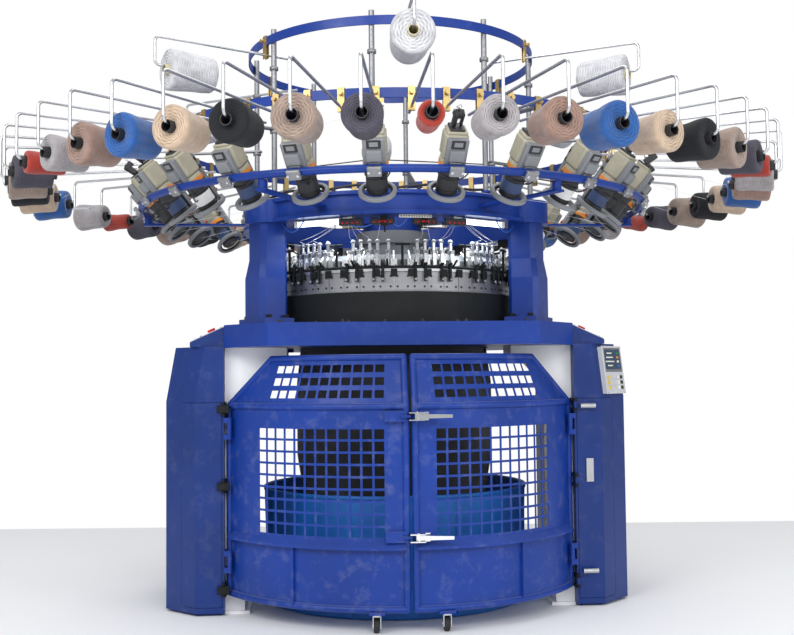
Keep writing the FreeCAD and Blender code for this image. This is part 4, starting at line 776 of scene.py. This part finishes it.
def feeder_place(bearing):
    tilt = math.radians(50.0)
    along = Vector((-math.cos(tilt), 0, -math.sin(tilt)))
    normal = Vector((-math.sin(tilt), 0, math.cos(tilt)))
    side = normal.cross(along)
    frame_here = Matrix((along, side, normal)).transposed().to_4x4()
    origin = Vector((FEEDER_R, 0, PLATE_HIGH)) + normal * 0.078
    return at_bearing(bearing) @ Matrix.Translation(origin) @ frame_here


WOUND = ["dark", "navy", "thread", "navy", "dark", "dark"]
for kind in sorted(set(WOUND)):
    units = [k for k in range(FEEDERS) if WOUND[k % len(WOUND)] == kind]
    places = [feeder_place(FIRST_FEEDER + FEEDER_STEP * k) for k in units]
    feeder_unit(kind).copies(places).make("feeders_" + kind, "machine", "feeder_beige",
                                          ["feeder_housings", "feeder_spools", "feeder_guide_rings"])

# %% [markdown]
# ## Knitting head
# Forty-eight cam plates form the bright band. Each is held by four cap screws, and a thin dark seam
# shows between neighbours. A black rail runs round the top, and groups of four bright carrier
# blocks with black stitch levers stand on it. The plates are blocks that follow the ring's
# curve closely enough at this width.

# %% Cam plates and rail
def cam_section():
    """One seventy-millimetre cam plate, bent round the ring, with its four screws."""
    part = Kit()
    points, faces = [], []
    half = math.radians(360.0 / 48 / 2 - 0.13)
    for level in (CAM_LOW + 0.006, CAM_LOW + 0.008, CAM_HIGH - 0.016, CAM_HIGH - 0.014):
        lift = 0.0035 if level in (CAM_LOW + 0.008, CAM_HIGH - 0.016) else 0.0005
        for k in range(5):
            angle = -half + 2 * half * k / 4
            points.append(((CAM_R + lift) * math.cos(angle), (CAM_R + lift) * math.sin(angle), level))
    for row in range(3):
        for k in range(4):
            first = row * 5 + k
            faces.append((first, first + 1, first + 6, first + 5))
    part.add(points, faces, "dull", None, False)
    for angle in (-half * 0.62, half * 0.62):
        for level in (CAM_LOW + 0.026, CAM_HIGH - 0.036):
            spin = Matrix.Rotation(angle, 4, "Z") @ shift(CAM_R + 0.0035, 0, level)
            spin = spin @ ALONG_X
            part.turned([(0.0052, 0.0), (0.0052, 0.0022), (0.0030, 0.0022), (0.0028, 0.0004), (0.0, 0.0004)],
                        "dark", spin, 10, False)
    return part


cam_section().copies([at_bearing(b) for b in even(48)]).make("cam_plates", "machine", "cut_steel")

rail = Kit()
rail.turned([(0.598, CAM_HIGH - 0.002), (0.6115, CAM_HIGH - 0.001), (0.6125, CAM_HIGH + 0.004),
             (0.6115, CAM_HIGH + 0.012), (0.592, CAM_HIGH + 0.013), (0.590, CAM_HIGH + 0.001)],
            "black", None, 160)
for bearing in even(120):
    stud = at_bearing(bearing, 0.602, CAM_HIGH + 0.012)
    rail.turned([(0.0032, 0.0), (0.0032, 0.006), (0.0, 0.006)], "dull", stud, 8, False)
for bearing in even(48, 3.75):
    foot = at_bearing(bearing, 0.6125, CAM_HIGH - 0.020)
    rail.block((0.010, 0.030, 0.034), (0.0, 0, 0), "black", foot, 0.002)
rail.turned([(0.6135, CAM_LOW + 0.001), (0.6165, CAM_LOW + 0.002), (0.6165, CAM_LOW + 0.007),
             (0.606, CAM_LOW + 0.008)], "dull", None, 160)
rail.make("cam_rail", "machine", "black_steel")

# %% [markdown]
# ## Yarn carriers and stitch levers
# A carrier is a bright block with a slot and a ceramic eye. The stitch lever is black, hangs in
# front of the cam plate, and ends in a knob screw. They stand in groups of four, with a gap
# where the T-shaped rail supports are.

# %% Carriers
def carrier():
    part = Kit()
    for size, centre, finish, chamfer in (
            ((0.022, 0.018, 0.072), (0.588, 0, 1.640), "bright", 0.002),
            ((0.030, 0.026, 0.018), (0.584, 0, 1.668), "dull", 0.002),
            ((0.012, 0.014, 0.052), (0.574, 0.003, 1.702), "bright", 0.002),
            ((0.018, 0.020, 0.010), (0.574, 0.003, 1.718), "dull", 0.002),
            ((0.052, 0.008, 0.005), (0.553, 0, 1.690), "bright", 0.001),
    ):
        part.block(size, centre, finish, None, chamfer)
    eye = shift(0.531, 0, 1.690) @ ALONG_X
    part.turned([(0.003, -0.004), (0.006, -0.003), (0.006, 0.003), (0.003, 0.004)], "ivory", eye, 10)
    part.pipe([(0.585, -0.009, 1.655), (0.598, -0.010, 1.640), (0.606, -0.010, 1.612)], 0.0022,
              "bright", None, 6)
    return part


def stitch_lever():
    part = Kit()
    part.block((0.018, 0.012, 0.040), (0.612, 0, 1.594), "black", None, 0.002)
    part.block((0.014, 0.014, 0.055), (0.6165, 0, 1.556), "black", None, 0.004)
    part.block((0.030, 0.010, 0.012), (0.618, 0, 1.610), "black", None, 0.002)
    knob = shift(0.622, 0, 1.538) @ ALONG_X
    part.turned([(0.0, 0.010), (0.006, 0.010), (0.0075, 0.008), (0.0075, 0.0), (0.0, 0.0)], "dull", knob, 12)
    return part


groups = even(12, 15.0)
carrier_places = [at_bearing(b + step) for b in groups for step in (-8.2, -4.4, -0.2, 3.6, 8.6)]
carrier().copies(carrier_places).make("yarn_carriers", "machine", "grey_metal")
lever_places = [at_bearing(b + step) for b in groups for step in (-9.5, -5.0, 2.5, 6.4)]
stitch_lever().copies(lever_places).make("stitch_levers", "machine", "black_steel")

dial = Kit()
for bearing in even(48, 1.2):
    spot = at_bearing(bearing, 0.0, 0.0)
    dial.block((0.070, 0.052, 0.004), (0.474, 0, 1.6635), "dull", spot, 0.001)
    for y in (-0.016, 0.016):
        dial.turned([(0.0035, 1.6650), (0.0035, 1.6685), (0.0, 1.6685)], "dark",
                    spot @ shift(0.474, y, 0), 8, False)
for bearing in even(72):
    spot = at_bearing(bearing, 0.5565, 1.622)
    dial.block((0.003, 0.010, 0.016), (0.0, 0, 0), "dark", spot, 0.001)
dial.make("dial_plates", "machine", "grey_metal")

# %% [markdown]
# ## Under the upper plate
# The stop-motion boxes carry four small red lamps each and let four white yarns down to the
# carriers. Between them run a white terminal strip, blue air hoses in shallow arcs, and the two
# tube lights with their clips.

# %% Lamps, strip and lights
BOXES = [b for b in even(24, 7.5) if min(abs(b % 360 - c) for c in (32, 328, 60, 180, 300)) > 17]
details = Kit()
for bearing in BOXES:
    for k in range(4):
        spot = at_bearing(bearing, 0.7165, 0) @ shift(0, -0.012 + 0.008 * k, PLATE_LOW - 0.030)
        spot = spot @ ALONG_X
        details.turned([(0.0034, 0.0), (0.0034, 0.003), (0.0018, 0.005), (0.0, 0.005)], "red", spot, 8)
for bearing in (-20.0, -8.0, 8.0, 20.0):
    spot = at_bearing(bearing, 0.690, PLATE_LOW - 0.026)
    details.block((0.040, 0.110, 0.030), (0, 0, 0), "dark", spot, 0.003)
    for k in range(4):
        lampspot = spot @ shift(0.020, -0.036 + 0.024 * k, -0.006) @ ALONG_X
        details.turned([(0.0048, 0.0), (0.0048, 0.003), (0.0024, 0.006), (0.0, 0.006)], "red", lampspot, 8)
strip = at_bearing(4.0, 0.722, PLATE_LOW - 0.008)
details.block((0.010, 0.150, 0.014), (0, 0, 0), "ivory", strip, 0.002)
for k in range(12):
    details.block((0.004, 0.005, 0.006), (0.005, -0.066 + 0.012 * k, -0.001), "dark", strip, 0.0005)
details.make("head_details", "machine", "black_steel")

lights = Kit()
for bearing in (-32.0, 32.0):
    spot = at_bearing(bearing, 0.676, PLATE_LOW - 0.020)
    tube = spot @ ALONG_Y
    lights.turned([(0.0, -0.152), (0.0105, -0.150), (0.0115, -0.140), (0.0115, 0.140),
                   (0.0105, 0.150), (0.0, 0.152)], "tube_light", tube, 20)
    lights.block((0.030, 0.310, 0.006), (0, 0, 0.014), "ivory", spot, 0.002)
    for y in (-0.146, 0.146):
        lights.block((0.030, 0.018, 0.032), (0, y, 0.002), "ivory", spot, 0.003)
lights.make("tube_lights", "machine", "lamp_white", ["strip_lights"])
for name, bearing in (("left_tube_glow", -32.0), ("right_tube_glow", 32.0), ("rear_glow", 180.0)):
    spot = at_bearing(bearing, 0.56, PLATE_LOW - 0.045).translation
    lamp(name, (0.30, 0.12), 1.1, spot, spot + Vector((0, 0, -1)), (0.86, 0.94, 1.0))

# %% [markdown]
# ## Threads, hoses and cables
# A thread is thinner than a hair at this size, so each is a curve with a small round section. All of
# them are held at both ends: the yarns by their eyes, the hoses under the plate, the feeder leads by the
# ring. Each lead sags a little between its ends.

# %% Curves
def strands(name, paths, radius, finish, smooth=True, body="machine"):
    """Many thin strands as one curve object."""
    data = bpy.data.curves.new(name, "CURVE")
    data.dimensions = "3D"
    data.bevel_depth = radius
    data.bevel_resolution = 1
    data.resolution_u = 6
    for path in paths:
        spline = data.splines.new("NURBS" if smooth else "POLY")
        spline.points.add(len(path) - 1)
        for point, place in zip(spline.points, path):
            point.co = (*place, 1.0)
        if smooth:
            spline.order_u = 3
            spline.use_endpoint_u = True
    data.materials.append(materials[finish])
    thing = bpy.data.objects.new(name, data)
    bpy.context.scene.collection.objects.link(thing)
    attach(thing, body)
    print(name, "strands:", len(paths))
    return thing


def point_at(bearing, radius, level):
    return at_bearing(bearing, radius, level).translation


yarns = []
for group in groups:
    for step in (-8.2, -4.4, -0.2, 3.6):
        target = group + step
        source = min(BOXES + [-20.0, -8.0, 8.0, 20.0], key=lambda b: abs((b - target + 180) % 360 - 180))
        apart = (target - source + 180.0) % 360.0 - 180.0
        top = point_at(source + apart * 0.25, 0.700, PLATE_LOW - 0.040)
        bend = point_at(target + 1.0, 0.640, PLATE_LOW - 0.085 - 0.02 * random.random())
        end = point_at(target, 0.572, 1.722)
        yarns.append([top, (top + bend) / 2 + Vector((0, 0, -0.012)), bend, (bend + end) / 2, end])
strands("head_yarns", yarns, 0.0007, "thread")

drops = []
for k in range(FEEDERS):
    bearing = FIRST_FEEDER + FEEDER_STEP * k
    eye = feeder_place(bearing) @ Vector((0.160, 0, 0.0))
    drops.append([eye, point_at(bearing * 0.98 + 0.6, 0.74, PLATE_HIGH + 0.004)])
for hook in range(CONES):
    if hook != EMPTY_HOOK:
        feeder = FIRST_FEEDER + FEEDER_STEP * (hook // 2)
        nose = point_at(hook * HOOK_STEP, CONE_R - 0.115, CONE_LEVEL)
        head = feeder_place(feeder) @ Vector((-0.215, 0, 0.040))
        if hook % 2 == 0:
            drops.append([nose, (nose + head) / 2 + Vector((0, 0, -0.015)), head])
strands("supply_yarns", drops, 0.0007, "thread")

hoses = []
HOSE_ENDS = [(-24.0, -8.0), (-6.0, 2.0), (14.0, 24.0), (-52.0, -40.0), (40.0, 52.0), (150.0, 170.0),
             (190.0, 214.0)]
for start, end in HOSE_ENDS:
    sags = [(start, 0.004), (start + 1.5, 0.030), ((start + end) / 2, 0.058), (end - 1.5, 0.030),
            (end, 0.004)]
    hoses.append([point_at(bearing, 0.70, PLATE_LOW - sag) for bearing, sag in sags])
strands("air_hoses", hoses, 0.0035, "air_hose")

leads = []
for k in range(FEEDERS):
    bearing = FIRST_FEEDER + FEEDER_STEP * k
    start = feeder_place(bearing) @ Vector((-0.020, 0.036, -0.045))
    end = feeder_place(bearing + FEEDER_STEP) @ Vector((-0.020, -0.036, -0.045))
    sag = 0.030 + 0.050 * random.random()
    low = (start + end) / 2 + Vector((0, 0, -sag))
    leads.append([start, start + Vector((0, 0, -sag * 0.8)), low, end + Vector((0, 0, -sag * 0.8)), end])
    ring = point_at(bearing + 3.0, 1.235, PLATE_HIGH + 0.010)
    tail = feeder_place(bearing) @ Vector((0.060, 0.030, 0.060))
    swing = (ring + tail) / 2 + Vector((0, 0, -0.06 - 0.05 * random.random()))
    leads.append([tail, tail + Vector((0, 0, 0.03)), swing, ring + Vector((0, 0, -0.03)), ring])
strands("feeder_leads", leads, 0.0030, "dark")

belt = []
for k in range(9):
    belt.append(point_at(FIRST_POST + 45.0 * k, POST_CIRCLE, 2.075))
strands("creel_cord", [belt], 0.0028, "dark", False)

looms = []
for first in (-150.0, -60.0, 60.0, 120.0):
    looms.append([point_at(first + 9.0 * k, 0.742 + 0.006 * (k % 2), PLATE_HIGH + 0.005 + 0.012 * (k % 3))
                  for k in range(11)])
strands("plate_looms", looms, 0.0065, "dark")

# %% [markdown]
# ## Knitted tube
# The finished fabric hangs from the cylinder as a tube and gathers in the tub. Its near-black colour
# is partly the fabric's own dark yarn and partly painted shade for the dark inside below the cylinder.
# Knitted cloth drops in long soft folds that grow towards the bottom. The tube is one sheet whose radius
# waves round the circle, and fine vertical ribs in its material stand for the wales of the knit.

# %% Knit and cloth
def knit(name, color):
    material, nodes, link, shader = node_material(name)
    place = nodes.new("ShaderNodeTexCoord")
    stretch = nodes.new("ShaderNodeMapping")
    stretch.inputs["Scale"].default_value = (520.0, 60.0, 1.0)
    link(place.outputs["UV"], stretch.inputs["Vector"])
    ribs = nodes.new("ShaderNodeTexWave")
    ribs.bands_direction = "X"
    ribs.inputs["Scale"].default_value = 0.32
    ribs.inputs["Distortion"].default_value = 0.6
    link(stretch.outputs["Vector"], ribs.inputs["Vector"])
    cloud = noise_at(nodes, link, coordinates(nodes, link), 7.0, 6.0)
    low = tuple(c * 0.6 for c in color)
    link(ramp_of(nodes, link, cloud, [(0.3, low), (0.7, color)]), shader.inputs["Base Color"])
    shader.inputs["Roughness"].default_value = 0.9
    shader.inputs["Sheen Weight"].default_value = 0.35
    bump_from(nodes, link, shader, ribs.outputs["Fac"], 0.5, 0.003)
    return material


def cloth(name, color):
    material, nodes, link, shader = node_material(name)
    vector = coordinates(nodes, link)
    weave = nodes.new("ShaderNodeTexWave")
    weave.bands_direction = "Z"
    weave.inputs["Scale"].default_value = 160.0
    weave.inputs["Distortion"].default_value = 1.0
    link(vector, weave.inputs["Vector"])
    cloud = noise_at(nodes, link, vector, 5.0, 5.0)
    low = tuple(c * 0.72 for c in color)
    link(ramp_of(nodes, link, cloud, [(0.3, low), (0.7, color)]), shader.inputs["Base Color"])
    link(ramp_of(nodes, link, cloud, [(0.3, 0.38), (0.7, 0.55)]), shader.inputs["Roughness"])
    bump_from(nodes, link, shader, weave.outputs["Fac"], 0.15, 0.001)
    return material


# The knit's near-black colour is partly its own dark yarn and partly painted shade for the dark inside below
# the cylinder.
materials["knit"] = knit("knit_painted_shade", (0.020, 0.021, 0.026))
materials["tub_cloth"] = cloth("coated_cloth", (0.012, 0.17, 0.62))


def fold(angle, height):
    """Folds that deepen downwards, from nothing at the cylinder."""
    depth = max(0.0, min(1.0, (1.20 - height) / 0.9))
    waves = 0.55 * math.sin(9 * angle + 2.0 * height) + 0.30 * math.sin(17 * angle - 3.1 * height + 1.0)
    waves += 0.25 * math.sin(5 * angle + 5.0 * height + 2.0)
    return -0.004 + 0.012 * depth * (waves - 0.4)


tube = Kit()
levels = [1.298 - 1.036 * k / 40 for k in range(41)]
outline = [(1.30, 0.479), (1.215, 0.479), (1.06, 0.499), (0.70, 0.500), (0.26, 0.430)]


def outline_at(level):
    for (z1, r1), (z2, r2) in zip(outline, outline[1:]):
        if z2 <= level <= z1:
            return r1 + (r2 - r1) * (z1 - level) / (z1 - z2)
    return outline[-1][1]


tube.turned([(outline_at(z), z) for z in levels], "knit", None, 144, True, fold)
knitted = tube.make("knitted_tube", "cylinder", "fabric_dark", ["fabric_tube"])

# %% [markdown]
# ## Fabric tub
# The tub is coated cloth on a hoop. It keeps its round form but the wall dents between its
# stitched seams, and the hem is rolled over the hoop. The wall is one turned sheet with shallow
# dents, and the hem is a thicker turned ring.

# %% Tub
def dent(angle, height):
    share = math.sin(math.pi * min(1.0, height / 0.556))
    return -0.004 - 0.005 * share * (1 + math.sin(12 * angle + 7.0 * height)) * 0.5


tub = Kit()
tub_rows = [(0.0, 0.003), (0.30, 0.003), (0.60, 0.003), (0.652, 0.004)]
tub_rows += [(0.654 + 0.008 * k / 14, 0.010 + 0.540 * k / 14) for k in range(15)]
tub.turned(tub_rows, "tub_cloth", None, 96, True, lambda a, h: dent(a, h) if h > 0.02 else 0.0)
tub_cloth = tub.make("tub_cloth", "machine", "tub_blue", ["fabric_tub"])
hem = Kit()
hem.turned([(0.654, 0.536), (0.661, 0.537), (0.6615, 0.546), (0.660, 0.554), (0.655, 0.555),
            (0.651, 0.549), (0.652, 0.538)], "tub_cloth", None, 96)
for k in range(8):
    hem.block((0.004, 0.030, 0.520), (0.6560, 0, 0.275), "tub_cloth", at_bearing(45.0 * k + 22.0), 0.001)
tub_hem = hem.make("tub_hem", "machine", "tub_blue")

# %% [markdown]
# ## Operator panel, covers and screws
# The display has a light bezel, a recessed dark glass with coloured fields, and two blocks of keys.
# The sloped plates carry small switches. The cabinets get their cover strips,
# hinge caps and cap screws. None of them carries any lettering.

# %% Operator panel
def panel_place():
    across = Vector((1, 1, 0)).normalized()
    outward = across.cross(Vector((-0.045, 0, 0.255))).normalized()
    upward = outward.cross(across)
    middle = Vector((1.110 - 0.075, -0.450 + 0.075, 0.985))
    start = middle + upward * (0.014 + 0.113) + outward * 0.022
    turn = Matrix((across, upward, outward)).transposed().to_4x4()
    return Matrix.Translation(start) @ turn


panel = Kit()
spot = panel_place()
panel.block((0.182, 0.232, 0.004), (0, 0, 0.001), "light_grey", spot, 0.0015)
panel.block((0.160, 0.118, 0.004), (0, 0.048, 0.002), "dull", spot, 0.001)
panel.block((0.142, 0.096, 0.003), (0, 0.050, 0.0035), "screen", spot, 0.001)
for row in range(4):
    height = 0.080 - 0.020 * row
    field = ("green", "orange", "ivory", "air_hose")[row]
    panel.block((0.046 + 0.018 * (row % 3), 0.006, 0.001), (-0.030, height, 0.0054), "ivory", spot, 0.0002)
    panel.block((0.020, 0.010, 0.001), (0.046, height, 0.0054), field, spot, 0.0002)
for column in range(5):
    for row in range(3):
        finish = ("yellow", "light_grey", "light_grey", "ivory", "dark")[column]
        key = (-0.060 + 0.030 * column, -0.036 - 0.025 * row, 0.004)
        panel.block((0.022, 0.016, 0.004), key, finish, spot, 0.002)
for x in (-0.084, 0.084):
    for y in (-0.109, 0.109):
        panel.turned([(0.0035, 0.003), (0.0035, 0.005), (0.0, 0.005)], "bright",
                     spot @ shift(x, y, 0), 8, False)
panel.make("operator_display", "machine", "panel_grey")

# %% Cabinet trim
def trim(side):
    """Cover strips, screws, louvres and the sloped plate's small switches on one cabinet."""
    part = Kit()
    flip = Matrix.Scale(side, 4, (1, 0, 0))
    slope = Vector((0.160, 0, -0.072)).normalized()
    up = Vector((0.072, 0, 0.160)).normalized()
    plate = Matrix((slope, Vector((0, 1, 0)), up)).transposed().to_4x4()
    plate = shift(0.826, -0.315, 1.334) @ plate
    part.block((0.040, 0.100, 0.003), (0.125, 0.030, 0.0058), "dull", flip @ plate, 0.001)
    for k in range(4):
        part.turned([(0.006, 0.004), (0.006, 0.012), (0.0045, 0.014), (0.0, 0.014)],
                    ("dark", "yellow", "green", "dark")[k],
                    flip @ plate @ shift(0.125, -0.004 + 0.023 * k, 0), 12)
    for y in (-0.095, 0.095):
        for x in (0.018, 0.150):
            part.turned([(0.004, 0.004), (0.004, 0.0065), (0.0, 0.0065)], "bright",
                        flip @ plate @ shift(x, y, 0), 8, False)
    for level in (0.075, 0.50, 0.93):
        for y in (-0.25, 0.0, 0.25):
            spin = flip @ shift(1.110, y, level) @ ALONG_X
            part.turned([(0.008, 0.0), (0.008, 0.003), (0.004, 0.0045), (0.0, 0.0045)], "dull", spin, 12)
    for k in range(10):
        part.block((0.004, 0.220, 0.008), (1.111, 0.10, 0.16 + 0.020 * k), "dark", flip, 0.001)
    part.block((0.006, 0.250, 0.215), (1.1085, 0.10, 0.25), "blue", flip, 0.002)
    for k in range(2):
        part.block((0.003, 0.003, 0.90), (1.1105, -0.16 + 0.50 * k, 0.50), "dark", flip, 0.0005)
    return part


for side, name in ((-1, "left_cabinet_trim"), (1, "right_cabinet_trim")):
    trim(side).make(name, "machine", "machine_blue")

covers = Kit()
for level in (0.121, 0.594, 0.950):
    covers.block((0.044, 0.012, 0.034), (-0.836, -0.4745, level), "black", None, 0.003)
    covers.block((0.024, 0.016, 0.040), (-0.812, -0.4705, level), "black", None, 0.003)
covers.make("hinge_covers", "machine", "black_steel")

# %% [markdown]
# ## Bed, plate and column details
# Cap screws mark where the plates are bolted. Small details like these give the eye a scale for
# the large painted parts.

# %% Screws and plates
bolts = Kit()
screw = [(0.0, 0.014), (0.0050, 0.014), (0.0055, 0.009), (0.0095, 0.009), (0.0100, 0.008), (0.0100, 0.0)]
for bearing in even(36, 5.0):
    bolts.turned(screw, "dark", at_bearing(bearing, 0.748, PLATE_HIGH), 12, False)
for bearing in even(24, 7.5):
    if abs((bearing + 180) % 360 - 180) > 70 or abs((bearing + 180) % 360 - 180) < 50:
        bolts.turned(screw, "dark", at_bearing(bearing, 0.655, BED_HIGH), 12, False)
for x in (-0.56, -0.28, 0.28, 0.56):
    bolts.turned(screw, "dark", shift(x, -0.675, BED_HIGH), 12, False)
bolts.make("cap_screws", "machine", "black_steel")

# %% [markdown]
# ## Oil canister and creel collars
# The mist canister hangs on a post and has a red outlet. Collars hold the posts. They are turned
# parts, so the lathe helper makes them.

# %% Canister and collars
fit = Kit()
canister_low, canister_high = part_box("oil_canister")
canister = shift((canister_low.x + canister_high.x) / 2, canister_low.y + 0.026, canister_low.z)
fit.turned([(0.0, -0.030), (0.006, -0.030), (0.010, -0.022), (0.012, -0.004), (0.027, -0.002),
            (0.0275, 0.014), (0.0265, 0.016)], "red", canister, 20)
fit.turned([(0.0265, 0.050), (0.029, 0.052), (0.029, 0.066), (0.0265, 0.068)], "dark", canister, 20)
fit.turned([(0.026, 0.108), (0.020, 0.116), (0.010, 0.120), (0.0, 0.120)], "dull", canister, 20)
for bearing in even(8, FIRST_POST):
    for level in (1.934, 2.255, 2.560):
        finish = "blue" if level < 2 else "dull"
        fit.turned([(0.0135, 0.0), (0.021, 0.001), (0.021, 0.018), (0.0135, 0.019)], finish,
                   at_bearing(bearing, POST_CIRCLE, level), 16)
fit.make("creel_collars", "machine", "grey_metal")
